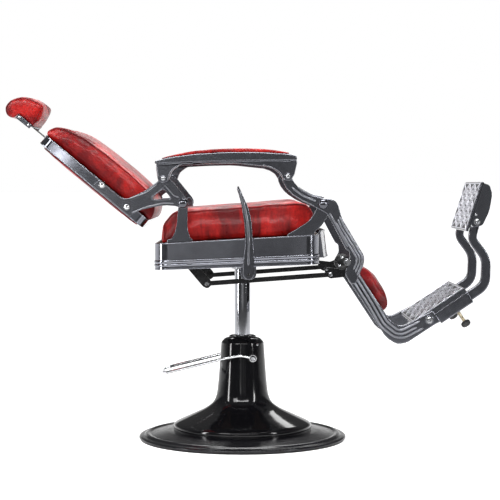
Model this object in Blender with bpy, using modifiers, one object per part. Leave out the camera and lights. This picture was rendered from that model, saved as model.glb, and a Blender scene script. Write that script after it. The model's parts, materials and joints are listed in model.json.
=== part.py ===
"""Hydraulic barber chair: base and pump column, swivelling seat, and a linked back, armrests and leg rest.

Units are metres. The origin is on the floor under the column. +X is the front of the chair, +Z is up
and +Y is the sitter's left. The chair is drawn raised and fully reclined.
"""

import math

import bmesh
import bpy
from mathutils import Matrix, Vector

# ---- driving dimensions ----------------------------------------------------------------------------
GAP = 0.0003                      # clearance between pieces that touch

BASE_RADIUS = 0.340
PLATE_BOTTOM = 0.004              # the plate stands on a rubber pad of this height
PLATE_TOP = 0.030
COVER_RADIUS = 0.227
COVER_TOP = 0.336
PISTON_RADIUS = 0.026
PISTON_FOOT = 0.205
PISTON_SHOULDER = 0.560

PEDAL_AXIS = (0.034, 0.2726)      # x, z of the pump pedal's pivot
PEDAL_HALF_WIDTH = 0.085
PEDAL_ROD = 0.005

# hinge points of the seat linkage, as x, z
BACK_HINGE = (-0.185, 0.778)
LEG_HINGE = (0.250, 0.775)
ARM_REAR_PIN = (-0.244, 0.855)
ARM_FRONT_PIN = (0.140, 0.862)
ROCKER_HINGE = (-0.203, 0.628)
LINK_REAR = (-0.1115, 0.525)
LINK_FRONT = (0.2764, 0.5532)
LEVER_HINGE = (0.0185, 0.556)
CROSS_TUBE = (0.335, 0.565)
FOOT_PLATE_HINGE = (0.745, 0.718)

# seat box: the top and bottom edges rise towards the front
BOX_REAR = -0.275
BOX_FRONT = 0.240
BOX_HALF = 0.285
BOX_WALL = 0.003
BOX_CORNER = 0.045
BOX_TOP = 0.66515                 # height of the top edge at x = 0
BOX_TOP_SLOPE = 0.0558
BOX_BOTTOM = 0.5788
BOX_BOTTOM_SLOPE = 0.0352
BOARD_THICK = 0.012
CUSHION_HALF = 0.245

# planes of the side pieces, as distance from the middle plane: inner face, outer face
REAR_POST = (0.262, 0.272)
FRONT_POST = (0.270, 0.2845)
BACK_BRACKET = (0.2725, 0.2845)
LEG_CASTING = (0.2875, 0.3035)
ARM_CASTING = (0.3040, 0.3280)
ARM_RAIL = (0.2860, 0.3400)
ARM_PAD = (0.2885, 0.3375)
ROCKER_ARM = (0.2380, 0.2440)
LINK_BAR = (0.2310, 0.2370)
LINK_BRACKET = (0.2240, 0.2300)
LEVER_BLADE = (0.2880, 0.2980)
LOWER_RAIL = (0.1900, 0.2060)
SOCKET = (0.1360, 0.1896)
FOOT_TUBE = (0.1400, 0.1650)

# backrest: s runs up along the back from its lower edge, t runs out towards the sitter
BACK_FOOT = Vector((-0.2938, 0.0, 0.725))
BACK_UP = Vector((-0.7695, 0.0, 0.6386)).normalized()
BACK_OUT = Vector((0.6386, 0.0, 0.7695)).normalized()
BACK_LENGTH = 0.414
BACK_HALF = 0.272
BACK_DEPTH = 0.030
BAND_THICK = 0.004
BAR_DEPTH = 0.0205                # of the headrest bar's middle behind the back
HEAD_HALF = 0.118

# foot rest: s runs along the lower tread towards its front, t runs down from its top face
TREAD_START = Vector((0.5375, 0.0, 0.396))
TREAD_ALONG = Vector((math.cos(math.radians(33.9)), 0.0, math.sin(math.radians(33.9))))
TREAD_DOWN = Vector((TREAD_ALONG.z, 0.0, -TREAD_ALONG.x))
TREAD_LENGTH = 0.201
TREAD_THICK = 0.014
SOCKET_DEPTH = 0.040
SOCKET_START = 0.078

# ---- materials -------------------------------------------------------------------------------------
FINISHES = {
    # name: colour, roughness, metallic
    "gunmetal": ((0.10, 0.105, 0.12), 0.35, 0.7),
    "gloss_black": ((0.008, 0.008, 0.010), 0.12, 0.0),
    "black_steel": ((0.02, 0.02, 0.022), 0.4, 0.3),
    "chrome": ((0.85, 0.86, 0.88), 0.06, 1.0),
    "steel": ((0.55, 0.56, 0.58), 0.3, 1.0),
    "tread_metal": ((0.5, 0.5, 0.52), 0.3, 0.9),
    "red_leather": ((0.42, 0.012, 0.02), 0.25, 0.0),
    "rubber": ((0.02, 0.02, 0.02), 0.8, 0.0),
    "plywood": ((0.45, 0.30, 0.16), 0.7, 0.0),
}

PARTS = None
CUTTERS = None


def clear_scene():
    for obj in list(bpy.data.objects):
        bpy.data.objects.remove(obj)


def new_collection(name):
    collection = bpy.data.collections.new(name)
    bpy.context.scene.collection.children.link(collection)
    return collection


def finish_for(part_name, finish):
    """A material of the part's own, from the shared list of finishes."""
    colour, roughness, metallic = FINISHES[finish]
    material = bpy.data.materials.new(f"{part_name}_{finish}")
    material.use_nodes = True
    shader = material.node_tree.nodes["Principled BSDF"]
    shader.inputs["Base Color"].default_value = (*colour, 1.0)
    shader.inputs["Roughness"].default_value = roughness
    shader.inputs["Metallic"].default_value = metallic
    return material


# ---- outlines --------------------------------------------------------------------------------------
def fillet(points, closed=True, step=18):
    """Round the corners of a polygon. A point is (a, b) for a sharp corner or (a, b, radius)."""
    result = []
    count = len(points)
    for i, point in enumerate(points):
        here = Vector(point[:2])
        radius = point[2] if len(point) == 3 else 0.0
        at_end = not closed and i in (0, count - 1)
        if radius == 0.0 or at_end:
            result.append(here)
            continue
        back = Vector(points[i - 1][:2]) - here
        ahead = Vector(points[(i + 1) % count][:2]) - here
        inside = back.angle(ahead)
        turn = math.pi - inside
        if turn < 0.02:
            result.append(here)
            continue
        reach = min(radius * math.tan(turn / 2), 0.49 * back.length, 0.49 * ahead.length)
        real_radius = reach / math.tan(turn / 2)
        middle = here + (back.normalized() + ahead.normalized()).normalized() * (
            real_radius / math.cos(turn / 2))
        first = here + back.normalized() * reach
        last = here + ahead.normalized() * reach
        steps = max(1, round(math.degrees(turn) / step))
        start = first - middle
        signed = turn if start.x * (last - middle).y - start.y * (last - middle).x > 0 else -turn
        for k in range(steps + 1):
            angle = signed * k / steps
            cos, sin = math.cos(angle), math.sin(angle)
            result.append(middle + Vector((start.x * cos - start.y * sin, start.x * sin + start.y * cos)))
    return result


def circle(centre, radius, count=16):
    return [Vector((centre[0] + radius * math.cos(2 * math.pi * k / count),
                    centre[1] + radius * math.sin(2 * math.pi * k / count))) for k in range(count)]


def rectangle(low, high, radius=0.0):
    corners = [(low[0], low[1]), (high[0], low[1]), (high[0], high[1]), (low[0], high[1])]
    if radius == 0.0:
        return [Vector(corner) for corner in corners]
    return fillet([(*corner, radius) for corner in corners])


def band(points, widths):
    """The outline of a strip that follows a rounded line, its width running between the two given."""
    line = fillet(points, closed=False, step=12)
    left = []
    right = []
    for i, here in enumerate(line):
        before = line[max(i - 1, 0)]
        after = line[min(i + 1, len(line) - 1)]
        along = (after - before).normalized()
        half = 0.5 * (widths[0] + (widths[1] - widths[0]) * i / (len(line) - 1))
        side = Vector((-along.y, along.x)) * half
        left.append(here + side)
        right.append(here - side)
    return left + right[::-1]


def back_point(s, t):
    """x, z of a point on the backrest."""
    point = BACK_FOOT + BACK_UP * s + BACK_OUT * t
    return (point.x, point.z)


def tread_point(s, t):
    """x, z of a point on the foot rest."""
    point = TREAD_START + TREAD_ALONG * s + TREAD_DOWN * t
    return (point.x, point.z)


def box_top(x):
    return BOX_TOP + BOX_TOP_SLOPE * x


def box_bottom(x):
    return BOX_BOTTOM + BOX_BOTTOM_SLOPE * x


# ---- solids ----------------------------------------------------------------------------------------
def register(obj, finish, joint=None):
    """Put a part in its collection with its material, and on its joint's empty where it has one."""
    for collection in list(obj.users_collection):
        collection.objects.unlink(obj)
    PARTS.objects.link(obj)
    obj.data.materials.clear()
    obj.data.materials.append(finish_for(obj.name, finish))
    if joint is not None:
        obj.parent = joint
        obj.matrix_parent_inverse = Matrix.Translation(joint.location).inverted()
    return obj


def prism(name, outlines, frame, thickness):
    """A flat outline, with any holes, thickened both ways from the frame's XY plane."""
    curve = bpy.data.curves.new(name, "CURVE")
    curve.dimensions = "2D"
    curve.fill_mode = "BOTH"
    curve.extrude = thickness / 2
    for outline in outlines:
        spline = curve.splines.new("POLY")
        spline.points.add(len(outline) - 1)
        for point, place in zip(spline.points, outline):
            point.co = (place[0], place[1], 0.0, 1.0)
        spline.use_cyclic_u = True
    obj = bpy.data.objects.new(name, curve)
    obj.matrix_world = frame
    PARTS.objects.link(obj)
    return as_mesh(obj)


def as_mesh(obj):
    """Turn a curve object into a mesh object of the same name, with its caps welded on."""
    name = obj.name
    place = obj.matrix_basis.copy()
    bpy.context.view_layer.update()
    evaluated = obj.evaluated_get(bpy.context.evaluated_depsgraph_get())
    mesh = bpy.data.meshes.new_from_object(evaluated)
    bpy.data.objects.remove(obj)
    work = bmesh.new()
    work.from_mesh(mesh)
    bmesh.ops.remove_doubles(work, verts=work.verts, dist=0.00001)
    work.to_mesh(mesh)
    work.free()
    mesh.name = name
    result = bpy.data.objects.new(name, mesh)
    result.matrix_world = place
    PARTS.objects.link(result)
    return result


SIDE_FRAME = Matrix(((1, 0, 0, 0), (0, 0, -1, 0), (0, 1, 0, 0), (0, 0, 0, 1)))


def side_plate(name, outlines, planes, side):
    """A plate seen from the side: its outline is in x and z, and its planes are distances in y."""
    middle = (planes[0] + planes[1]) / 2
    frame = Matrix.Translation((0, side * middle, 0)) @ SIDE_FRAME
    return prism(name, outlines, frame, planes[1] - planes[0])


def wide_plate(name, outline, half_width):
    """A side outline that runs right across the chair."""
    return side_plate(name, [outline], (-half_width, half_width), 1)


def section(name, outlines, start, direction, length):
    """An outline in y and in the direction square to the run, drawn out along the run."""
    along = direction.normalized()
    across = Vector((0, 1, 0))
    up = along.cross(across)
    frame = Matrix((across, up, along)).transposed().to_4x4()
    frame.translation = start + along * (length / 2)
    return prism(name, outlines, frame, length)


def turned(name, profile, location=(0, 0, 0), side=0, segments=24, closed=False):
    """A turned piece: a profile of radius and height, from the top down its outer side.

    With side +1 or -1 the axis lies along the width of the chair and the height points outwards.
    """
    mesh = bpy.data.meshes.new(name)
    vertices = [(radius, 0.0, height) for radius, height in profile]
    edges = [(i, i + 1) for i in range(len(profile) - 1)]
    if closed:
        edges.append((len(profile) - 1, 0))
    mesh.from_pydata(vertices, edges, [])
    obj = bpy.data.objects.new(name, mesh)
    obj.location = location
    obj.rotation_euler = (-side * math.pi / 2, 0, 0)
    screw = obj.modifiers.new("turn", "SCREW")
    screw.steps = segments
    screw.render_steps = segments
    screw.use_merge_vertices = True
    screw.merge_threshold = 0.00001
    screw.use_smooth_shade = True
    PARTS.objects.link(obj)
    return obj


def rod(name, start, end, radius, segments=16):
    """A plain round bar between two points."""
    start, end = Vector(start), Vector(end)
    work = bmesh.new()
    bmesh.ops.create_cone(work, cap_ends=True, segments=segments, radius1=radius, radius2=radius,
                          depth=(end - start).length)
    mesh = bpy.data.meshes.new(name)
    work.to_mesh(mesh)
    work.free()
    obj = bpy.data.objects.new(name, mesh)
    obj.matrix_world = (Matrix.Translation((start + end) / 2)
                        @ (end - start).to_track_quat("Z", "Y").to_matrix().to_4x4())
    PARTS.objects.link(obj)
    return obj


def tube(name, points, radius, resolution=2):
    """A round bar along a line of points."""
    curve = bpy.data.curves.new(name, "CURVE")
    curve.dimensions = "3D"
    curve.bevel_depth = radius
    curve.bevel_resolution = resolution
    curve.use_fill_caps = True
    spline = curve.splines.new("POLY")
    spline.points.add(len(points) - 1)
    for point, place in zip(spline.points, points):
        point.co = (*place, 1.0)
    obj = bpy.data.objects.new(name, curve)
    PARTS.objects.link(obj)
    return as_mesh(obj)


def combine(target, tool, operation):
    """Join a second solid to a part, or cut it away, and put the second solid with the cutters."""
    PARTS.objects.unlink(tool)
    CUTTERS.objects.link(tool)
    tool.name = f"tool_{target.name}_{len(target.modifiers)}"
    tool.hide_render = True
    tool.display_type = "WIRE"
    boolean = target.modifiers.new(operation.lower(), "BOOLEAN")
    boolean.operation = operation
    boolean.solver = "EXACT"
    boolean.object = tool
    return target


def joint_empty(name, location):
    """An empty on a joint's axis, which the joint's moving parts hang on."""
    empty = bpy.data.objects.new(name, None)
    empty.location = location
    empty.empty_display_size = 0.03
    PARTS.objects.link(empty)
    return empty


def sides():
    """The sitter's left is +Y."""
    return (("left", 1), ("right", -1))


# ---- base and pump ---------------------------------------------------------------------------------
def make_base():
    pad = [(0.0, PLATE_BOTTOM), (0.334, PLATE_BOTTOM), (0.336, 0.0), (0.0, 0.0)]
    register(turned("floor_pad", pad, segments=48), "rubber")

    plate_foot = PLATE_BOTTOM + GAP
    plate = [(0.0, PLATE_TOP), (0.228, PLATE_TOP), (0.246, 0.0285), (0.300, 0.0185), (0.306, 0.0205),
             (0.312, 0.0215), (0.318, 0.0195), (0.323, 0.0155), (0.334, 0.0145), (BASE_RADIUS, 0.011),
             (BASE_RADIUS, plate_foot + 0.002), (0.338, plate_foot), (0.3305, plate_foot), (0.3295, 0.0092),
             (0.298, 0.0127), (0.244, 0.0225), (0.226, 0.024), (0.0, 0.024)]
    register(turned("base_plate", plate, segments=48), "gloss_black")

    outside = [(0.037, COVER_TOP), (0.043, COVER_TOP), (0.058, 0.331), (0.070, 0.318), (0.0745, 0.258),
               (0.079, 0.198), (0.085, 0.145), (0.0955, 0.120), (0.1225, 0.100), (0.170, 0.0775),
               (0.218, 0.055), (0.2255, 0.049), (COVER_RADIUS, 0.042), (0.2265, PLATE_TOP + GAP)]
    inside = [(0.2225, PLATE_TOP + GAP), (0.2225, 0.042), (0.216, 0.0515), (0.168, 0.0735), (0.1205, 0.096),
              (0.0925, 0.116), (0.0815, 0.145), (0.0755, 0.198), (0.0665, 0.3155), (0.055, 0.3275),
              (0.037, 0.3325)]
    cover = turned("base_cover", outside + inside, segments=40, closed=True)
    for number, (_, side) in enumerate(sides()):
        trunnion = [(0.0, 0.0935), (0.0095, 0.0935), (0.0095, 0.0905), (0.006, 0.0905), (0.006, 0.0797),
                    (0.014, 0.0797), (0.014, 0.0660), (0.0, 0.0660)]
        boss = turned(f"boss_{number}", trunnion, (PEDAL_AXIS[0], 0, PEDAL_AXIS[1]), side, 16)
        combine(cover, boss, "UNION")
    register(cover, "gloss_black")

    tank = [(0.060, 0.200), (0.0635, 0.200), (0.0635, PLATE_TOP + GAP), (0.060, PLATE_TOP + GAP)]
    register(turned("oil_reservoir", tank, segments=24, closed=True), "steel")

    cylinder = [(0.0, 0.0423), (PISTON_RADIUS + 0.0005, 0.0423), (PISTON_RADIUS + 0.0005, 0.330),
                (0.040, 0.330), (0.040, PLATE_TOP + GAP), (0.0, PLATE_TOP + GAP)]
    register(turned("pump_cylinder", cylinder, segments=24), "steel")

    seal = [(PISTON_RADIUS + 0.0005, 0.341), (0.0345, 0.341), (0.0365, 0.338), (0.0365, 0.3303),
            (PISTON_RADIUS + 0.0005, 0.3303)]
    register(turned("piston_seal", seal, segments=24, closed=True), "rubber")


def make_pedal():
    """A bar bent into a loop, with an eye on each end that turns on the cover's trunnions."""
    joint = joint_empty("pump_pedal_axis", (PEDAL_AXIS[0], 0, PEDAL_AXIS[1]))
    arm = [(0.0245, 0.2752), (-0.004, 0.2815, 0.06), (-0.050, 0.2745, 0.06), (-0.228, 0.2310)]
    half = [(place.x, -PEDAL_HALF_WIDTH, place.y) for place in fillet(arm, closed=False, step=8)]
    corner = [(-0.2445, -0.078, 0.2265), (-0.2565, -0.058, 0.2235), (-0.260, -0.030, 0.2225)]
    half += corner
    path = half + [(x, -y, z) for x, y, z in reversed(half)]
    loop = tube("pump_pedal", path, PEDAL_ROD, resolution=3)
    for number, (_, side) in enumerate(sides()):
        eye = [(0.0066, 0.0899), (0.0115, 0.0899), (0.0115, 0.0801), (0.0066, 0.0801)]
        piece = turned(f"eye_{number}", eye, (PEDAL_AXIS[0], 0, PEDAL_AXIS[1]), side, 20, closed=True)
        combine(loop, piece, "UNION")
    register(loop, "chrome", joint)


def make_piston():
    joint = joint_empty("piston_axis", (0, 0, PISTON_SHOULDER))
    profile = [(0.0, 0.585), (0.018, 0.585), (0.018, PISTON_SHOULDER), (PISTON_RADIUS, PISTON_SHOULDER),
               (PISTON_RADIUS, PISTON_FOOT + 0.003), (0.0245, PISTON_FOOT), (0.0, PISTON_FOOT)]
    register(turned("piston_rod", profile, segments=32), "chrome", joint)
    race = [(0.0185, 0.5668), (0.036, 0.5668), (0.036, PISTON_SHOULDER + GAP),
            (0.0185, PISTON_SHOULDER + GAP)]
    register(turned("swivel_bearing", race, segments=24, closed=True), "steel", joint)


# ---- seat ------------------------------------------------------------------------------------------
def slope_faces(obj, low, high):
    """Lay an upright prism's bottom and top faces on two sloping planes, given as height functions."""
    middle = obj.matrix_world.translation.z
    for vertex in obj.data.vertices:
        x = vertex.co.x
        plane = high(x) if vertex.co.z > 0 else low(x)
        vertex.co.z = plane - middle


def make_seat_frame(joint):
    """The sheet-metal box under the cushion, with a raised moulding and a lug for the lever."""
    outside = rectangle((BOX_REAR, -BOX_HALF), (BOX_FRONT, BOX_HALF), BOX_CORNER)
    inside = rectangle((BOX_REAR + BOX_WALL, -BOX_HALF + BOX_WALL),
                       (BOX_FRONT - BOX_WALL, BOX_HALF - BOX_WALL), BOX_CORNER - BOX_WALL)
    upright = Matrix.Translation((0, 0, 0.62))
    box = prism("seat_frame", [outside, inside], upright, 0.08)
    slope_faces(box, box_bottom, box_top)
    lug = side_plate("lug", [fillet([(-0.006, 0.600), (-0.006, 0.550, 0.012), (0.006, 0.540, 0.012),
                                     (0.031, 0.540, 0.012), (0.043, 0.550, 0.012), (0.043, 0.600)]),
                             circle(LEVER_HINGE, 0.0076)], (0.2785, 0.2845), -1)
    combine(box, lug, "UNION")
    register(box, "gunmetal", joint)

    apron = prism("front_apron", [apron_outline()], Matrix.Translation((0, 0, 0.648)), 0.084)
    for vertex in apron.data.vertices:
        vertex.co.x -= 0.13 * vertex.co.z * (vertex.co.x > BOX_FRONT + 0.004)
    register(apron, "gunmetal", joint)


def apron_outline():
    """A shell bowed forwards from the front of the box, with a flange on each end."""
    bow = 0.022
    half = 0.225
    wall = 0.003
    start = BOX_FRONT + GAP
    outer = []
    inner = []
    for k in range(13):
        across = -1 + 2 * k / 12
        forward = start + 0.010 + bow * (1 - across * across)
        outer.append(Vector((forward, half * across)))
        inner.append(Vector((forward - wall, (half - wall) * across)))
    return [Vector((start, -half))] + outer + [Vector((start, half)), Vector((start, half - wall))] + \
        inner[::-1] + [Vector((start, -half + wall))]


def make_seat_parts(joint):
    hub = [(0.0, 0.598), (0.044, 0.598), (0.044, 0.5672), (0.0185, 0.5672), (0.0185, 0.5862), (0.0, 0.5862)]
    hub = turned("swivel_hub", hub, segments=32)
    plate = prism("plate", [rectangle((BOX_REAR + BOX_WALL + GAP, -0.10), (BOX_FRONT - BOX_WALL - GAP, 0.10))],
                  Matrix.Translation((0, 0, 0.6005)), 0.008)
    combine(hub, plate, "UNION")
    register(hub, "black_steel", joint)

    inset = BOX_WALL + GAP
    board = prism("seat_board", [rectangle((BOX_REAR + inset, -BOX_HALF + inset),
                                           (BOX_FRONT - inset, BOX_HALF - inset), BOX_CORNER - inset)],
                  Matrix.Translation((0, 0, 0.66)), 0.012)
    slope_faces(board, lambda x: box_top(x) - BOARD_THICK, box_top)
    register(board, "plywood", joint)

    rear, front = -0.2566, 0.210
    outline = fillet([(rear, box_top(rear) + GAP * 2), (rear, 0.712, 0.03), (-0.222, 0.757, 0.04),
                      (-0.10, 0.7655, 0.3), (0.161, 0.784, 0.10), (0.206, 0.782, 0.03),
                      (0.230, 0.748, 0.04), (0.227, 0.700, 0.03), (front, box_top(front) + GAP * 2)])
    register(wide_plate("seat_cushion", outline, CUSHION_HALF), "red_leather", joint)

    for name, side in sides():
        foot = GAP * 2
        outline = fillet([(-0.235, box_top(-0.235) + foot), (-0.235, 0.664, 0.004), (-0.220, 0.668, 0.01),
                          (-0.206, 0.700, 0.06), (-0.200, 0.768, 0.02), (-0.196, 0.792, 0.014),
                          (-0.174, 0.792, 0.014), (-0.170, 0.768, 0.02), (-0.172, 0.700, 0.06),
                          (-0.162, 0.668, 0.01), (-0.155, 0.666, 0.004), (-0.155, box_top(-0.155) + foot)])
        register(side_plate(f"rear_post_{name}", [outline], REAR_POST, side), "gunmetal", joint)

        outline = fillet([(0.140, box_top(0.140) + foot), (0.140, 0.681, 0.003), (0.207, 0.7224, 0.03),
                          (0.232, 0.762, 0.02), (0.232, 0.790, 0.014), (0.264, 0.793, 0.015),
                          (0.270, 0.768, 0.02), (0.2633, 0.738, 0.03), (0.2493, 0.7106, 0.03),
                          (0.2253, 0.6885, 0.01), (0.2228, box_top(0.2228) + foot)])
        register(side_plate(f"front_post_{name}", [outline], FRONT_POST, side), "gunmetal", joint)

        make_ball_bolt(f"back_hinge_bolt_{name}", BACK_HINGE, BACK_BRACKET, side, joint)
        make_ball_bolt(f"leg_hinge_bolt_{name}", LEG_HINGE, LEG_CASTING, side, joint)


def make_ball_bolt(name, place, planes, side, joint, radius=0.016):
    """A hinge bolt with a domed head, through the plate that lies between the two planes."""
    shank = 0.0075
    face = planes[1] + GAP
    dome = [(radius * math.sin(math.radians(a)), face + 0.012 * math.cos(math.radians(a)))
            for a in (0, 25, 50, 72, 90)]
    profile = dome + [(radius, face), (shank, face), (shank, planes[0] - 0.0002), (0.0, planes[0] - 0.0002)]
    bolt = turned(name, profile, (place[0], 0, place[1]), side, 20)
    register(bolt, "gunmetal", joint)


# ---- recline linkage -------------------------------------------------------------------------------
def make_links():
    rocker_joint = joint_empty("link_rocker_axis", (ROCKER_HINGE[0], 0, ROCKER_HINGE[1]))
    reach = BOX_HALF - BOX_WALL - GAP
    shaft = rod("link_rocker", (ROCKER_HINGE[0], -reach, ROCKER_HINGE[1]),
                (ROCKER_HINGE[0], reach, ROCKER_HINGE[1]), 0.009)
    for _, side in sides():
        arm = fillet([(-0.218, 0.627, 0.010), (-0.211, 0.640, 0.008), (-0.192, 0.640, 0.010),
                      (-0.100, 0.536, 0.010), (-0.098, 0.519, 0.010), (-0.110, 0.509, 0.010),
                      (-0.124, 0.516, 0.010)])
        combine(shaft, side_plate("arm", [arm], ROCKER_ARM, side), "UNION")
    register(shaft, "black_steel", rocker_joint)

    bar_joint = joint_empty("link_bars_axis", (LINK_REAR[0], 0, LINK_REAR[1]))
    for name, side in sides():
        outline = band([LINK_REAR, LINK_FRONT], (0.015, 0.015))
        along = (Vector(LINK_FRONT) - Vector(LINK_REAR)).normalized() * 0.008
        outline[0] -= along
        outline[-1] -= along
        outline[1] += along
        outline[2] += along
        register(side_plate(f"link_bar_{name}", [outline], LINK_BAR, side), "black_steel", bar_joint)


def make_lever(joint):
    x, z = LEVER_HINGE
    blade = fillet([(-0.014, 0.8355, 0.004), (-0.017, 0.822, 0.006), (-0.003, 0.772, 0.10),
                    (0.006, 0.711, 0.10), (0.0095, 0.660, 0.10), (0.002, 0.592, 0.10),
                    (x - 0.0175, z - 0.004, 0.02), (x - 0.006, z - 0.0165, 0.012),
                    (x + 0.010, z - 0.0155, 0.012), (x + 0.0175, z - 0.002, 0.012), (0.036, 0.630, 0.10),
                    (0.032, 0.671, 0.10), (0.0285, 0.723, 0.10), (0.018, 0.765, 0.10), (-0.003, 0.812, 0.06)])
    lever = side_plate("recline_lever", [blade], LEVER_BLADE, -1)
    shaft = rod("shaft", (x, -LEVER_BLADE[0] - 0.002, z), (x, -0.262, z), 0.007)
    combine(lever, shaft, "UNION")
    register(lever, "gunmetal", joint)


# ---- back ------------------------------------------------------------------------------------------
def make_back(joint):
    # a steel band bent round the edge of the back, slotted at the top for the headrest bar
    outer = rectangle((-BACK_HALF, 0.0), (BACK_HALF, BACK_LENGTH), 0.030)
    inner = rectangle((-BACK_HALF + BAND_THICK, BAND_THICK), (BACK_HALF - BAND_THICK, BACK_LENGTH - BAND_THICK),
                      0.026)
    frame = Matrix((Vector((0, 1, 0)), BACK_UP, BACK_OUT)).transposed().to_4x4()
    frame.translation = BACK_FOOT - BACK_OUT * (BACK_DEPTH / 2)
    back_frame = prism("back_frame", [outer, inner], frame, BACK_DEPTH)
    slot_centre = BACK_FOOT + BACK_UP * (BACK_LENGTH - 0.012) - BACK_OUT * BAR_DEPTH
    slot = section("slot", [rectangle((-0.021, -0.0026), (0.021, 0.0026))], slot_centre, BACK_UP, 0.024)
    combine(back_frame, slot, "DIFFERENCE")
    register(back_frame, "gunmetal", joint)

    inset = BAND_THICK + GAP
    board_outline = rectangle((-BACK_HALF + inset, inset), (BACK_HALF - inset, BACK_LENGTH - inset), 0.0255)
    board_frame = frame.copy()
    board_frame.translation = BACK_FOOT - BACK_OUT * 0.0065
    register(prism("back_board", [board_outline], board_frame, 0.012), "plywood", joint)

    front = [(0.4253, 0.0127, 0.02), (0.418, 0.038, 0.03), (0.390, 0.057, 0.05), (0.320, 0.0745, 0.15),
             (0.2375, 0.0795, 0.3), (0.151, 0.0805, 0.3), (0.062, 0.0755, 0.08), (0.012, 0.058, 0.06),
             (-0.006, 0.032, 0.04), (-0.010, GAP), (0.420, GAP)]
    outline = fillet([(*back_point(s, t), *rest) for s, t, *rest in front])
    register(wide_plate("back_cushion", outline, 0.262), "red_leather", joint)

    depth = BACK_DEPTH + GAP
    rear = [(0.012, -depth), (0.402, -depth), (0.400, -depth - 0.006, 0.02), (0.340, -depth - 0.009, 0.2),
            (0.060, -depth - 0.009, 0.2), (0.014, -depth - 0.006, 0.02)]
    outline = fillet([(*back_point(s, t), *rest) for s, t, *rest in rear])
    register(wide_plate("back_rear_panel", outline, 0.258), "red_leather", joint)

    guide_start = BACK_FOOT + BACK_UP * 0.200 - BACK_OUT * BAR_DEPTH
    channel = [rectangle((-0.027, -0.0040), (0.027, 0.0040)), rectangle((-0.0206, -0.0021), (0.0206, 0.0021))]
    register(section("headrest_guide", channel, guide_start, BACK_UP, 0.200), "steel", joint)

    for name, side in sides():
        bracket = fillet([(-0.4477, 0.8527, 0.008), (-0.367, 0.787, 0.03), (-0.300, 0.8185, 0.03),
                          (-0.262, 0.846, 0.010), (-0.258, 0.868, 0.013), (-0.237, 0.870, 0.013),
                          (-0.172, 0.790, 0.010), (-0.166, 0.768, 0.014), (-0.184, 0.757, 0.014),
                          (-0.206, 0.7687, 0.02), (-0.247, 0.7718, 0.08), (-0.3188, 0.7563, 0.03),
                          (-0.3502, 0.7354, 0.008), (-0.4656, 0.8312, 0.008)])
        opening = fillet([(-0.288, 0.790, 0.005), (-0.2455, 0.822, 0.005), (-0.2205, 0.791, 0.005)])
        holes = [opening, circle(BACK_HINGE, 0.0079), circle(ARM_REAR_PIN, 0.0064)]
        register(side_plate(f"back_bracket_{name}", [bracket] + holes, BACK_BRACKET, side), "gunmetal", joint)
        pin = [(0.0, BACK_BRACKET[0] - 0.003), (0.009, BACK_BRACKET[0] - 0.003),
               (0.009, BACK_BRACKET[0] - GAP), (0.006, BACK_BRACKET[0] - GAP),
               (0.006, ARM_CASTING[1] + GAP), (0.010, ARM_CASTING[1] + GAP),
               (0.010, ARM_CASTING[1] + 0.004), (0.0, ARM_CASTING[1] + 0.006)]
        pin = turned(f"arm_rear_pin_{name}", pin[::-1], (ARM_REAR_PIN[0], 0, ARM_REAR_PIN[1]), side, 16)
        register(pin, "chrome", joint)


def make_headrest(joint):
    bar = [back_point(0.250, -BAR_DEPTH - 0.0015), back_point(0.5395, -BAR_DEPTH - 0.0015),
           back_point(0.5395, -BAR_DEPTH + 0.0015), back_point(0.250, -BAR_DEPTH + 0.0015)]
    register(wide_plate("headrest_bar", [Vector(p) for p in bar], 0.020), "black_steel", joint)

    # an H-shaped channel across the pad's underside, screwed on top of the bar
    web = [back_point(0.4845, -0.0187), back_point(0.5405, -0.0187), back_point(0.5405, -0.0157),
           back_point(0.4845, -0.0157)]
    bracket = wide_plate("headrest_bracket", [Vector(p) for p in web], HEAD_HALF)
    for _, side in sides():
        cheek = [back_point(0.4845, -0.0255), back_point(0.5405, -0.0265), back_point(0.5405, -0.0116),
                 back_point(0.4845, -0.0116)]
        cheek = side_plate("cheek", [[Vector(p) for p in cheek]], (HEAD_HALF - 0.003, HEAD_HALF), side)
        combine(bracket, cheek, "UNION")
    register(bracket, "gunmetal", joint)

    recess = [(*back_point(0.4815, -0.0186), 0.002), back_point(0.4842, -0.0113), back_point(0.5410, -0.0113)]
    outline = fillet([(-0.7395, 1.0476, 0.010), (-0.758, 1.056, 0.018), (-0.7662, 1.0835, 0.035),
                      (-0.745, 1.1075, 0.03), (-0.709, 1.1185, 0.05), (-0.688, 1.1165, 0.05),
                      (-0.649, 1.1000, 0.03), (-0.633, 1.0860, 0.012), (-0.641, 1.0745, 0.02),
                      (-0.6657, 1.0333, 0.15), (-0.6737, 1.0177, 0.004)] + recess + [(-0.7315, 1.0506, 0.006)])
    register(wide_plate("headrest_pad", outline, HEAD_HALF), "red_leather", joint)


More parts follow.
